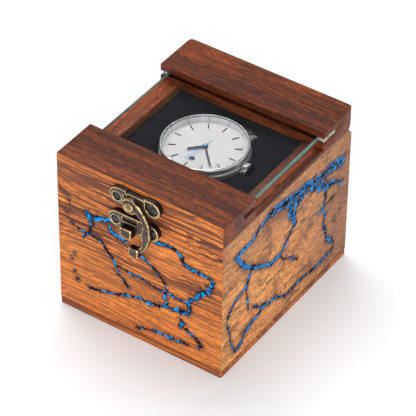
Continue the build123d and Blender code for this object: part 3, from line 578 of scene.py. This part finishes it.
# ---- Materials -------------------------------------------------------------
def wood_colours(kind):
    chosen = settings().wood
    return tuple(getattr(chosen, f"{kind}_{tone}") for tone in TONES)


def wood_material(name, colours, wander, lines, pores, along="X", patches=0.0, flakes=0.35, calm=None,
                  spread=None, shift=(0.0, 0.0, 0.0), squeeze=(1.0, 1.0, 1.0)):
    """One board's wood; with a spread, burnt along its channels."""
    material, w = new_material(name, specular_ior_level=0.22)
    light, middle, dark = colours
    place_mm = w.position_mm()
    x, y, z = w.split(place_mm)
    grain = w.join(x, y, z) if along == "X" else w.join(y, x, z)
    if calm:
        lines = w.band(z, *calm, 0.45 * lines, lines)
    figure = w.use(timber_figure(), grain_place=w.mapped(grain, location=shift, scale=squeeze),
                   light=light, middle=middle, dark=dark, wander=wander, lines=lines, pores=pores,
                   patches=patches, flakes=flakes)
    tone, rough = figure["Color"], figure["Roughness"]
    if squeeze[0] > 1:
        tone = side_figure(w, tone, dark, place_mm)
    if spread is not None:
        burnt = burnt_look(w, tone, spread)
        tone = burnt["Color"]
        rough = w.mix_value(burnt["Char"], rough, 0.75)
        rough = w.mix_value(burnt["Resin"], rough, 0.12)
        w.feed(w.mix_value(burnt["Resin"], 0.22, 0.05), w.shader.inputs["Specular IOR Level"])
    # Painted shade: a dark line on the boards along the seam under the lid and along the base joint, where
    # the parts meet.
    seam_shade_distance = w.math("MINIMUM", w.apart(z, 1000 * SEAM), w.apart(z, 1000 * BASE_TOP))
    tone = w.mix(w.band(seam_shade_distance, 0.08, 0.38, 0.85, 0.0), tone, (0.020, 0.008, 0.006))
    w.paint(tone, rough, w.bump(figure["Height"], 0.30, 0.00006))
    return material


def side_figure(w, tone, dark, place_mm):
    """Darker towards the rear and the top of the side boards, drying cracks, and painted shade on the inner
    faces.
    """
    x, y, z = w.split(place_mm)
    # Darker towards the rear and towards the top.
    rear_top_darkening = w.larger(w.band(y, -2.0, 46.0, 0.0, 0.72), w.band(z, 34.0, 66.0, 0.0, 0.42))
    tone = w.mix(rear_top_darkening, tone, shade(dark, 1.9))
    vein = w.noise(w.scaled(place_mm, (0.02, 0.022, 0.060)), 1.0, 5.0, 0.65)
    broken = w.band(w.noise(w.scaled(place_mm, (0.05, 0.06, 0.14)), 1.0, 3.0, 0.6), 0.50, 0.58)
    crack = w.band(w.apart(vein), 0.005, 0.015, 0.85, 0.0)
    tone = w.mix(w.times(crack, broken), tone, shade(dark, 0.5))
    # Painted shade on the inner faces of the side boards, inside the box, fading out across their tops.
    inner = w.band(w.math("ABSOLUTE", x), 1000 * HALF_WIDTH - 4, 1000 * HALF_WIDTH - 1.5, 0.7, 0.0)
    return w.mix(inner, tone, dark)


def burnt_look(w, wood, spread):
    """The burnt channels over the wood.

    On the side boards the crust widens towards the top rear and its strokes lie at a slant, so there the
    place is squeezed along that slant.
    """
    place_mm, reach = w.position_mm(), spread
    if spread == SIDE_SPREAD:
        _, y, z = w.split(place_mm)
        reach = w.larger(0.15, w.times(w.band(y, -26.0, 2.0), w.band(z, 50.0, 60.0, 0.0, spread)))
        place_mm = w.scaled(w.mapped(place_mm, rotation=(math.radians(-38), 0.0, 0.0)), (1.0, 0.95, 2.6))
    resin = settings().resin
    return w.use(burnt_channel(), place=place_mm, distance=w.attribute("burn_distance"), wood=wood,
                 spread=reach, bright=resin.blue, deep=resin.deep)


def resin_material(name, spread):
    material, w = new_material(name, ior=1.5, specular_ior_level=0.05)
    burnt = burnt_look(w, (0.05, 0.02, 0.015), spread)
    w.paint(burnt["Color"], w.mix_value(burnt["Resin"], 0.70, 0.10), w.bump(burnt["Height"], 0.8, 0.0005))
    return material


def brass_material(name, relief=True, rubbed=0.0):
    """Aged brass whose walls turned away from the face darken, partly patina and partly painted shade, or all
    rubbed alike without relief.
    """
    material, w = new_material(name, metallic=0.92)
    value = 0.5 + rubbed
    if relief:
        # Painted shade over the patina: walls turned away from the face sink towards the darkest colour.
        outward = w.math("ABSOLUTE", w.split(w.coordinate("Normal"))[1])
        value = w.plus(w.attribute("relief"), w.band(outward, 0.15, 0.75, -0.28, 0.0))
    colours = settings().latch
    aged = w.use(brass_patina(), place=w.position_mm(), relief=value, bright=colours.bright,
                 patina=colours.patina)
    w.paint(aged["Color"], aged["Roughness"], w.bump(aged["Height"], 0.25, 0.00005))
    return material


def steel_material(name, rough):
    material, w = new_material(name, metallic=0.88)
    brushed = w.use(steel_brushing(), lines_place=w.position_mm(), base_rough=rough)
    w.paint(brushed["Color"], brushed["Roughness"], w.bump(brushed["Height"], 0.12, 0.00001))
    return material


def polished_material(name, tone, rough, metallic=1.0):
    return cloudy_material(name, (0.8, 3.0, 0.6), (0.3, 0.7, tone, shade(tone, 0.9)),
                           (0.2, 0.8, rough, rough + 0.05), metallic=metallic)


def watch_polar(w):
    """Radius in millimetres and angle from twelve o'clock, measured about the watch's centre."""
    local = w.mapped(w.coordinate("Object"), "TEXTURE", location=WATCH_CENTRE,
                     rotation=(0.0, 0.0, WATCH_TURN))
    x, y, _ = w.split(w.scaled(local, 1000.0))
    return w.long_side(x, y), w.math("ARCTAN2", x, y)


def printed_marks(w, radius, angle, count, half_width):
    """A mask of thin radial lines, as many as the count, round the dial."""
    turn = w.times(angle, count / (2 * math.pi))
    across = w.times(w.apart(turn, w.math("ROUND", turn)), w.times(radius, 2 * math.pi / count))
    return w.fall(across, half_width * 0.5, half_width * 1.5)


def dial_material():
    """Silver dial with a faint sunburst and a printed minute track."""
    material, w = new_material("silver_dial", metallic=0.35)
    radius, angle = watch_polar(w)
    ray = w.node("ShaderNodeTexNoise", {"W": w.times(angle, 26.0), "Scale": 1.0, "Detail": 3.0}, "Fac",
                 noise_dimensions="1D")
    silver = settings().watch.dial
    track = w.times(printed_marks(w, radius, angle, 60, 0.13), w.band(radius, 16.3, 16.5))
    sunburst = w.mix(w.band(ray, 0.3, 0.7), shade(silver, 0.94), silver)
    w.paint(w.mix(w.times(track, 0.6), sunburst, (0.16, 0.16, 0.18)), w.band(ray, 0.2, 0.8, 0.30, 0.44))
    return material


def flange_material():
    """The sloping ring round the dial, with a thin line at every hour."""
    material, w = new_material("flange_silver", metallic=0.25)
    cloud = w.noise(w.position_mm(), 0.12, 2.0)
    ring = w.mix(w.band(cloud, 0.35, 0.65), (0.69, 0.645, 0.67), (0.82, 0.772, 0.80))
    w.paint(w.mix(w.times(printed_marks(w, *watch_polar(w), 12, 0.16), 0.8), ring, (0.13, 0.13, 0.15)),
            w.band(cloud, 0.3, 0.7, 0.30, 0.42))
    return material


def suede_material():
    tone = settings().pad.suede
    material, w = new_material("black_suede", sheen_weight=0.05, sheen_roughness=0.5,
                               sheen_tint=(0.35, 0.36, 0.42), specular_ior_level=0.08)
    brushed = w.noise(w.position_mm(), 0.14, 4.0, 0.62, 0.6)
    nap = w.noise(w.position_mm(), 7.0, 3.0, 0.7)
    pile = w.mix(w.band(brushed, 0.35, 0.68), shade(tone, 0.75), shade(tone, 1.7))
    w.paint(w.mix(w.times(w.band(nap, 0.55, 0.8), 0.5), pile, shade(tone, 1.8)),
            w.band(nap, 0.2, 0.8, 0.8, 0.98), w.bump(nap, 0.6, 0.00012))
    return material


def leather_material():
    material, w = new_material("dark_leather", sheen_weight=0.05)
    grain = w.cells(w.position_mm(), 2.2, "DISTANCE_TO_EDGE", "Distance")
    worn = w.noise(w.position_mm(), 0.25, 4.0, 0.6)
    w.paint(w.mix(w.band(worn, 0.35, 0.7), (0.012, 0.011, 0.013), (0.035, 0.028, 0.028)),
            w.band(worn, 0.3, 0.7, 0.42, 0.58), w.bump(grain, 0.5, 0.00008))
    return material


def clear_material(name, cloud, tints, **plain):
    """Glass that lets lamps shine through: shadow rays meet a transparent shader in its place."""
    material = cloudy_material(name, cloud, (0.3, 0.7, *tints), roughness=0.0, transmission_weight=1.0,
                               **plain)
    w = Wiring(material.node_tree)
    clear = w.node("ShaderNodeBsdfTransparent", {"Color": (0.92, 0.95, 0.94)})
    w.finish("ShaderNodeMixShader", w.ray("Shadow"), w.shader.outputs[0], clear)
    return material


def floor_material():
    """A white floor that keeps the shadow of what stands on it."""
    material, w = new_material("pale_floor", base_color=(0.862, 0.884, 0.898), roughness=0.9,
                               specular_ior_level=0.0)
    x, y, _ = w.split(w.position_mm())
    strength = w.times(w.seen_plainly(), w.band(w.long_side(x, y), 450.0, 800.0, 0.14, 1.0))
    glow = w.node("ShaderNodeEmission", {"Color": (1.0, 0.995, 0.995), "Strength": strength})
    w.finish("ShaderNodeAddShader", w.shader.outputs[0], glow)
    return material


# ---- Stage -----------------------------------------------------------------
class WATCHBOX_OT_stage(bpy.types.Operator):
    """Set the floor, the lamps, the room light and the camera"""

    bl_idname = "watchbox.stage"
    bl_label = "Stage, Lamps and Camera"

    def execute(self, context):
        scene = context.scene
        scene.view_settings.view_transform = "Standard"
        values = settings().stage
        deselect_all()
        bpy.ops.mesh.primitive_plane_add(size=6.0, location=(0, 0, -0.00002))
        floor = context.active_object
        floor.name = "floor"
        place(floor)
        floor.data.materials.append(floor_material())
        self.add_world(scene, values.sky)
        self.add_lamp("key_lamp", KEY_AWAY, KEY_SIZE, values.key)
        self.add_lamp("fill_lamp", FILL_AWAY, FILL_SIZE, values.fill)
        self.add_camera(scene)
        return {"FINISHED"}

    def add_world(self, scene, strength):
        """A room that lights evenly, but looks white near the ground and dark overhead."""
        world = bpy.data.worlds.new("white_room")
        scene.world = world
        world.use_nodes = True
        w = Wiring(world.node_tree)
        above = w.mix_value(w.ray("Glossy"), 0.06, 0.16)
        shown = w.band(w.split(w.coordinate("Generated"))[2], 0.12, 0.50, 1.0, above)
        room, seen = world.node_tree.nodes["Background"], w.add("ShaderNodeBackground")
        for background, value in ((room, strength), (seen, shown)):
            w.feed((1.0, 1.0, 1.0), background.inputs["Color"])
            w.feed(value, background.inputs["Strength"])
        w.finish("ShaderNodeMixShader", w.seen_plainly(), room.outputs[0], seen.outputs[0])

    def add_lamp(self, name, away, size, strength):
        data = bpy.data.lights.new(name, "AREA")
        data.shape = "DISK"
        data.size = size
        data.energy = strength
        lamp = linked(name, data)
        lamp.visible_camera = False
        lamp.location = LAMP_AIM + away
        lamp.rotation_euler = (-away).to_track_quat("-Z", "Y").to_euler()

    def add_camera(self, scene):
        data = bpy.data.cameras.new("main_camera")
        data.sensor_width = 36.0
        data.lens = CAMERA_LENS
        data.clip_end = 50.0
        camera = linked("main_camera", data)
        camera.matrix_world = (
            Matrix.Translation(CAMERA_AT) @ Matrix.Rotation(CAMERA_AZIMUTH, 4, "Z")
            @ Matrix.Rotation(math.pi / 2 - CAMERA_ELEVATION, 4, "X") @ Matrix.Rotation(CAMERA_ROLL, 4, "Z"))
        scene.camera = camera


# ---- Boards of the box -----------------------------------------------------
def board_blank(name, width, outer_round, cells):
    """A mitred board in front of the origin, its outer face at Y = 0 divided into fine cells."""
    piece = block(name, Vector((-width / 2, 0.0, BASE_TOP + BASE_GAP)),
                  Vector((width / 2, BOARD_THICKNESS, SEAM)))
    activate(piece)
    bpy.ops.object.mode_set(mode="EDIT")

    def choose(kind, test):
        """Select the faces or edges that pass the test, and nothing else."""
        bpy.ops.mesh.select_mode(type=kind)
        mesh = bmesh.from_edit_mesh(piece.data)
        for item in (*mesh.verts, *mesh.edges, *mesh.faces):
            item.select_set(False)
        for item in mesh.faces if kind == "FACE" else mesh.edges:
            if test(item):
                item.select_set(True)
        mesh.select_flush_mode()
        bmesh.update_edit_mesh(piece.data)

    def choose_edges(depth, axis):
        choose("EDGE", lambda edge: all(abs(end.co.y) < depth for end in edge.verts)
               and abs(edge.verts[0].co[axis] - edge.verts[1].co[axis]) < 1e-6)

    choose("FACE", lambda face: face.normal.y > 0.9)
    bpy.ops.transform.resize(value=((width - 2 * BOARD_THICKNESS) / width, 1.0, 1.0))
    choose_edges(1e-6, 0)
    bpy.ops.mesh.bevel(offset=outer_round, segments=4, affect="EDGES", clamp_overlap=True)
    choose_edges(outer_round * 1.1, 2)
    bpy.ops.mesh.bevel(offset=outer_round * 0.3, segments=2, affect="EDGES", clamp_overlap=True)
    area = max(face.calc_area() for face in bmesh.from_edit_mesh(piece.data).faces if face.normal.y < -0.99)
    choose("FACE", lambda face: face.normal.y < -0.99 and face.calc_area() == area)
    for _ in range(2):
        bpy.ops.mesh.subdivide(number_cuts=int(math.sqrt(cells)) - 1)
    bpy.ops.object.mode_set(mode="OBJECT")
    return piece


def mark_burn(piece, resin_node, across, face, specks=()):
    """Store each point's signed distance in millimetres to the channel's edge, jogged along the face."""
    noise.seed_set(BURN_SEED)
    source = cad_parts[resin_node].data
    spots = [vertex.co for vertex in source.vertices]
    walls = [tuple(side.vertices) for side in source.polygons if abs(side.normal[across]) < 0.5]
    near_wall = BVHTree.FromPolygons(spots, walls)
    solid = BVHTree.FromPolygons(spots, [tuple(side.vertices) for side in source.polygons])
    outward = Vector((0.0, 0.0, 0.0))
    outward[across] = math.copysign(1.0, face)
    distance = np.full(len(piece.data.vertices), 9.0)
    narrowed = 0.12 if across == 1 else 0.0
    for index, vertex in enumerate(piece.data.vertices):
        at = vertex.co * 1000
        jog = noise.noise_vector(at * 0.26) * 0.0010 + noise.noise_vector(at * 0.85) * 0.0008
        spot = vertex.co + jog
        spot[across] = face
        hit = near_wall.find_nearest(spot, 0.009)
        if hit[0] is not None:
            within = solid.ray_cast(spot + outward * 0.002, -outward, 0.003)[0] is not None
            distance[index] = hit[3] * (-1000 if within else 1000) + narrowed
        for x, z, radius in specks:
            away = (spot - Vector((x, face, z))).length * 1000 - radius
            distance[index] = min(distance[index], max(away, -0.20))
    store(piece, "burn_distance", distance)


class WATCHBOX_OT_boards(bpy.types.Operator):
    """Build the four mitred boards and the base board"""

    bl_idname = "watchbox.boards"
    bl_label = "Box Boards"

    def execute(self, context):
        boards = settings().boards
        front = wood_material("front_wood", wood_colours("box"), 11.0, 1.0, 0.60, calm=(22.0, 58.0),
                              spread=FRONT_SPREAD)
        sides = wood_material("side_wood", wood_colours("side"), 26.0, 0.45, 0.72, along="Y", patches=0.70,
                              flakes=0.80, spread=SIDE_SPREAD, squeeze=(1.5, 1.0, 1.0),
                              shift=(7.0, 3.0, 11.0))
        for side, turn, axis, out in SIDES:
            width, material = (2 * HALF_WIDTH, front) if axis == 1 else (2 * HALF_DEPTH, sides)
            piece = board_blank(f"{side}_board", width, boards.corner_round, boards.cells)
            spin = Matrix.Rotation(math.radians(turn), 4, "Z")
            piece.matrix_world = spin @ Matrix.Translation((0, -abs(out), 0))
            place(piece)
            if side != "front":
                self.cut_back(piece)
            mark_burn(piece, f"{side}_resin_inlay", axis, out, FRONT_SPECKS if side == "front" else ())
            smooth_by_angle(piece)
            finish_piece(piece, "box", material, f"{side}_wall")
        base = soften(copy_of_node("base_plank", "base_board"), 0.00025)
        _, middle, dark = wood_colours("box")
        wood = wood_material("base_wood", (middle, wood_colours("lid")[0], dark), 4.0, 0.7, 0.4,
                             shift=(31.0, 0.0, 5.0))
        finish_piece(base, "box", wood, "base_board")
        return {"FINISHED"}

    def cut_back(self, piece):
        """Take the hinge bevel off the rear upper edge."""
        normal = (0.0, math.sin(HINGE_BEVEL), math.cos(HINGE_BEVEL))
        edit(piece, lambda: bpy.ops.mesh.bisect(plane_co=(0.0, HALF_DEPTH - HINGE_SETBACK, SEAM),
                                                plane_no=normal, use_fill=True, clear_outer=True))


class WATCHBOX_OT_resin(bpy.types.Operator):
    """Pour the resin: an uneven glossy filling for every burnt channel"""

    bl_idname = "watchbox.resin"
    bl_label = "Resin"

    def execute(self, context):
        sizes = settings().resin
        on_sides = resin_material("resin_in_side_boards", SIDE_SPREAD)
        on_ends = resin_material("resin_in_end_boards", FRONT_SPREAD)
        for side, _, across, face in SIDES:
            node = f"{side}_resin_inlay"
            piece = recast(copy_of_node(f"{side}_resin_pour", node), sizes.voxel, smooth=3)
            self.roughen(piece, across, face, sizes.waviness)
            mark_burn(piece, node, across, face)
            finish_piece(piece, "box", on_ends if across == 1 else on_sides, node)
        return {"FINISHED"}

    def roughen(self, piece, across, face, waviness):
        """Let the outline wander in the face and keep the surface just proud of the wood."""
        places = coordinates(piece)
        outward = math.copysign(1.0, face)
        facing = normals(piece)
        moved = places.copy()
        rim = np.zeros(len(places))
        for index, spot in enumerate(places):
            at = Vector(spot) * 1000
            wave = noise.fractal(at * 0.62, 1.0, 2.0, 3) + 0.35 * noise.noise(at * 1.9)
            flat = Vector(facing[index])
            flat[across] = 0.0
            moved[index] += np.array(flat) * waviness * wave
            rim[index] = 1.0 - flat.length
        top = (face - places[:, across]) * outward < 0.0004
        moved[top, across] = face + outward * RESIN_PROUD * (1 + rim[top])
        set_coordinates(piece, moved)


# ---- Lid -------------------------------------------------------------------
class WATCHBOX_OT_lid(bpy.types.Operator):
    """Build the lid's bars, rails, pane and glue"""

    bl_idname = "watchbox.lid"
    bl_label = "Lid, Glass and Glue"

    def execute(self, context):
        light, middle, dark = wood_colours("lid")
        for side, kind, along, tone, shift in (
                ("front", "bar", "X", 1.0, (0.0, 0.0, 0.0)), ("rear", "bar", "X", 1.0, (19.0, 37.0, 3.0)),
                ("left", "rail", "Y", 1.6, (5.0, 60.0, 9.0)), ("right", "rail", "Y", 0.8, (44.0, 81.0, 2.0))):
            name, node = f"{side}_lid_{kind}", f"lid_{side}_{kind}"
            piece = soften(copy_of_node(name, node), settings().boards.bar_round)
            wood = wood_material(f"{name}_wood", (shade(light, tone), shade(middle, tone), dark), 9.0, 0.62,
                                 0.92, along=along, patches=0.30, flakes=0.9, shift=shift)
            finish_piece(piece, "lid", wood, node)
            if node == "lid_front_bar":
                self.face_front(piece)
        self.add_pane()
        glue = recast(copy_of_node("glue_beads", "glass_glue"), 0.0003, smooth=4)
        dried = cloudy_material("dried_glue", (0.7, 3.0, 0.6),
                                (0.35, 0.65, (0.46, 0.34, 0.24), (0.72, 0.70, 0.66)),
                                relief=(0.5, 0.0003), roughness=0.25, transmission_weight=0.25, ior=1.48)
        finish_piece(glue, "lid", dried, "glass_glue")
        return {"FINISHED"}

    def face_front(self, bar):
        """The front of the bar shows the same paler wood as the board below it."""
        bar.data.materials.append(
            wood_material("bar_front_wood", wood_colours("box"), 8.0, 0.90, 0.60, shift=(60.0, 0.0, 23.0)))
        for face in bar.data.polygons:
            if face.normal.y < -0.7 and face.center.y < -HALF_DEPTH + 0.0005:
                face.material_index = 1

    def add_pane(self):
        pane = block("window_pane", *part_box("glass_pane"))
        edit(pane, lambda: bpy.ops.mesh.bevel(offset=0.0002, segments=1, affect="EDGES"))
        clear = clear_material("window_glass", (0.05, 3.0, 0.6), ((0.975, 0.99, 0.985), (0.955, 0.98, 0.972)),
                               ior=1.32, specular_ior_level=0.12)
        finish_piece(pane, "lid", clear, "glass_pane")
        pane.data.materials.append(cloudy_material(
            "ground_glass_edge", (0.9, 3.0, 0.6), (0.3, 0.7, (0.10, 0.27, 0.24), (0.24, 0.44, 0.40)),
            stretch=(1.0, 0.15, 1.0), roughness=0.35, ior=1.5, transmission_weight=0.35))
        for face in pane.data.polygons:
            face.material_index = 0 if abs(face.normal.z) > 0.9 else 1


# ---- Latch and hinges ------------------------------------------------------
class WATCHBOX_OT_latch(bpy.types.Operator):
    """Cast the latch plates, the hook, the rivet and the nails in aged brass"""

    bl_idname = "watchbox.latch"
    bl_label = "Latch and Hinges"

    def execute(self, context):
        brass = brass_material("aged_brass_casting")
        worn = brass_material("rubbed_rivet_brass", relief=False, rubbed=0.14)
        iron = cloudy_material("blackened_nail", (1.2, 3.0, 0.6),
                               (0.3, 0.75, (0.022, 0.022, 0.030), (0.11, 0.11, 0.14)),
                               (0.3, 0.7, 0.30, 0.46), (0.4, 0.0001), metallic=0.85)
        plan = (("upper_casting", "latch_plate", "lid", brass),
                ("lower_casting", "catch_plate", "box", brass),
                ("crescent_hook", "latch_hook", "hook", brass),
                ("pivot_rivet", "latch_rivet", "lid", worn),
                ("upper_nails", "latch_nails", "lid", iron),
                ("lower_nails", "catch_nails", "box", iron))
        for name, node, body, material in plan:
            piece = recast(copy_of_node(name, node), settings().latch.voxel, smooth=3)
            mark_relief(piece)
            finish_piece(piece, body, material, node)
        plain = brass_material("hinge_brass", relief=False)
        for side in ("left", "right"):
            for part in ("box_leaf", "lid_leaf", "pin"):
                cover(f"{side}_hinge_{part}", plain)
        for leaf in ("box", "lid"):
            cover(f"hinge_{leaf}_screws", plain)
        return {"FINISHED"}


def cover(node, material):
    """Give a CAD node that keeps its shape a better material."""
    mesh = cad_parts[node].data
    mesh.materials.clear()
    mesh.materials.append(material)


# ---- Pad -------------------------------------------------------------------
class WATCHBOX_OT_pad(bpy.types.Operator):
    """Wrap the display pad in suede"""

    bl_idname = "watchbox.pad"
    bl_label = "Suede Pad"

    def execute(self, context):
        sizes = settings().pad
        pad = recast(copy_of_node("suede_pad", "display_cushion"), sizes.voxel, smooth=2)
        self.swell(context, pad, sizes.swell)
        finish_piece(pad, "box", suede_material(), "display_cushion")
        return {"FINISHED"}

    def swell(self, context, pad, most):
        """Blow the padded top up a little with cloth, and hold everything below it."""
        before = coordinates(pad)
        held = (before[:, 2] < before[:, 2].max() - 0.0012) | (normals(pad)[:, 2] < 0.3)
        pad.vertex_groups.new(name="held").add([int(i) for i in np.flatnonzero(held)], 1.0, "REPLACE")
        activate(pad)
        modifier = pad.modifiers.new("Swell", "CLOTH")
        cloth = modifier.settings
        cloth.use_pressure = True
        cloth.uniform_pressure_force = 4.0
        cloth.effector_weights.gravity = 0.0
        cloth.vertex_group_mass = "held"
        modifier.collision_settings.use_collision = False
        modifier.collision_settings.use_self_collision = False
        for number in range(1, 13):
            context.scene.frame_set(number)
        shown = pad.evaluated_get(context.evaluated_depsgraph_get())
        move = per_vertex(shown.data, "co", np.float32) - before
        pad.modifiers.remove(modifier)
        context.scene.frame_set(1)
        reach = np.linalg.norm(move, axis=1)
        move *= np.minimum(1.0, most / np.maximum(reach, 1e-9))[:, None]
        move[held] = 0.0
        set_coordinates(pad, before + move)


# ---- Watch -----------------------------------------------------------------
class WATCHBOX_OT_watch(bpy.types.Operator):
    """Finish the watch: case, bezel, dial, hands, crown and strap"""

    bl_idname = "watchbox.watch"
    bl_label = "Watch"

    def execute(self, context):
        edge = settings().watch.edge
        brushed = steel_material("brushed_case_steel", 0.30)
        polished = polished_material("polished_steel", (0.84, 0.82, 0.83), 0.20, metallic=0.82)
        knurled = polished_material("crown_steel", (0.44, 0.43, 0.44), 0.18)
        dark_polish = polished_material("polished_marker", (0.11, 0.11, 0.12), 0.30)
        blued = cloudy_material("heat_blued_steel", (0.6, 2.0, 0.5),
                                (0.35, 0.65, (0.03, 0.22, 0.62), (0.06, 0.36, 0.80)),
                                (0.3, 0.7, 0.20, 0.30), metallic=0.6, coat_weight=0.5)
        copies = (("case_band", "watch_case", "box", "satin_steel", brushed, edge * 2),
                  ("fluted_crown", "watch_crown", "crown", "satin_steel", knurled, edge),
                  ("baton_markers", "dial_batons", "box", "bright_steel", dark_polish, edge * 0.3),
                  ("hour_baton", "hour_hand", "hour_hand", "bright_steel", dark_polish, edge * 0.4),
                  ("minute_baton", "minute_hand", "minute_hand", "bright_steel", dark_polish, edge * 0.4),
                  ("seconds_needle", "seconds_hand", "seconds_hand", "blue_steel", blued, edge * 0.3),
                  ("pin_buckle", "strap_buckle", "box", "satin_steel", polished, edge))
        for name, node, body, slot, material, width in copies:
            piece = soften(copy_of_node(name, node, dissolve=False), width)
            finish_piece(piece, body, material, node)
        self.turn_rings(polished)
        for node in ("watch_case_back", "crown_sleeve", "winding_stem", "hand_post", "spring_bars"):
            cover(node, brushed)
        cover("watch_movement", brass_material("movement_brass", relief=False))
        cover("watch_dial", dial_material())
        cover("dial_flange", flange_material())
        cover("dial_jewel", cloudy_material(
            "small_blue_dot", (1.5, 2.0, 0.5), (0.3, 0.7, (0.02, 0.035, 0.09), (0.04, 0.07, 0.17)),
            roughness=0.2, coat_weight=0.6))
        leather = leather_material()
        for node in ("front_strap", "rear_strap"):
            strap = soften(copy_of_node(f"{node}_leather", node), 0.0005, 3)
            finish_piece(strap, "box", leather, node)
        return {"FINISHED"}

    def turn_rings(self, polished):
        """The bezel and the crystal, turned on a lathe so that their curves are even."""
        low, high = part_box("watch_bezel")
        centre = Vector(((low.x + high.x) / 2, (low.y + high.y) / 2, high.z))
        rim = (high.x - low.x) * 500
        turns = [math.radians(degrees) for degrees in range(0, 91, 15)]
        shoulder = [(rim - 0.9 + 0.9 * math.cos(turn), -1.5 + 1.5 * math.sin(turn)) for turn in turns]
        outline = [(rim - 1.4, -3.2), (rim - 0.4, -3.2), (rim - 0.1, -3.05), (rim, -2.7), *shoulder,
                   (rim - 1.05, -0.03), (rim - 1.1, -0.12), (rim - 1.1, -1.0), (rim - 1.4, -1.0)]
        bezel = lathe("polished_bezel", outline, centre)
        smooth_by_angle(bezel, 40)
        finish_piece(bezel, "box", polished, "watch_bezel")
        inner = rim - 1.12
        dome = [(inner * share, 0.35 - 0.22 * share ** 2)
                for share in (1.0, 0.9, 0.75, 0.6, 0.45, 0.3, 0.15, 0.0)]
        crystal = lathe("domed_crystal", [(0.0, -1.0), (inner, -1.0), *dome], centre)
        smooth_by_angle(crystal)
        glass = clear_material("watch_crystal_glass", (0.1, 2.0, 0.5),
                               ((0.99, 0.99, 1.0), (0.975, 0.98, 0.985)), ior=1.12, specular_ior_level=0.2)
        finish_piece(crystal, "box", glass, "watch_crystal")


# ---- Panel and registration ------------------------------------------------
def group_setting(kind):
    return bpy.props.PointerProperty(name=kind.__name__, description=f"The {kind.__name__} values", type=kind)


class WatchBoxSettings(bpy.types.PropertyGroup):
    boards: group_setting(BoardSettings)
    wood: group_setting(WoodColours)
    resin: group_setting(ResinSettings)
    latch: group_setting(LatchSettings)
    pad: group_setting(PadSettings)
    watch: group_setting(WatchSettings)
    stage: group_setting(StageSettings)


OPERATORS = (WATCHBOX_OT_stage, WATCHBOX_OT_boards, WATCHBOX_OT_resin, WATCHBOX_OT_lid, WATCHBOX_OT_latch,
             WATCHBOX_OT_pad, WATCHBOX_OT_watch)


class WATCHBOX_PT_panel(bpy.types.Panel):
    """Lists the steps that build the box"""

    bl_idname = "WATCHBOX_PT_panel"
    bl_label = "Watch Box"
    bl_space_type = "VIEW_3D"
    bl_region_type = "UI"
    bl_category = "Watch Box"

    def draw(self, context):
        for operator in OPERATORS:
            self.layout.operator(operator.bl_idname)


GROUPS = (BoardSettings, WoodColours, ResinSettings, LatchSettings, PadSettings, WatchSettings, StageSettings,
          WatchBoxSettings)


def register():
    for item in (*GROUPS, *OPERATORS, WATCHBOX_PT_panel):
        bpy.utils.register_class(item)
    bpy.types.Scene.watch_box = bpy.props.PointerProperty(
        name="Watch Box", description="Sizes and colours of the box", type=WatchBoxSettings)


def unregister():
    del bpy.types.Scene.watch_box
    for item in reversed((*GROUPS, *OPERATORS, WATCHBOX_PT_panel)):
        bpy.utils.unregister_class(item)


def main():
    register()
    for operator in OPERATORS:
        family, action = operator.bl_idname.split(".")
        getattr(getattr(bpy.ops, family), action)()


if __name__ == "__main__":
    main()
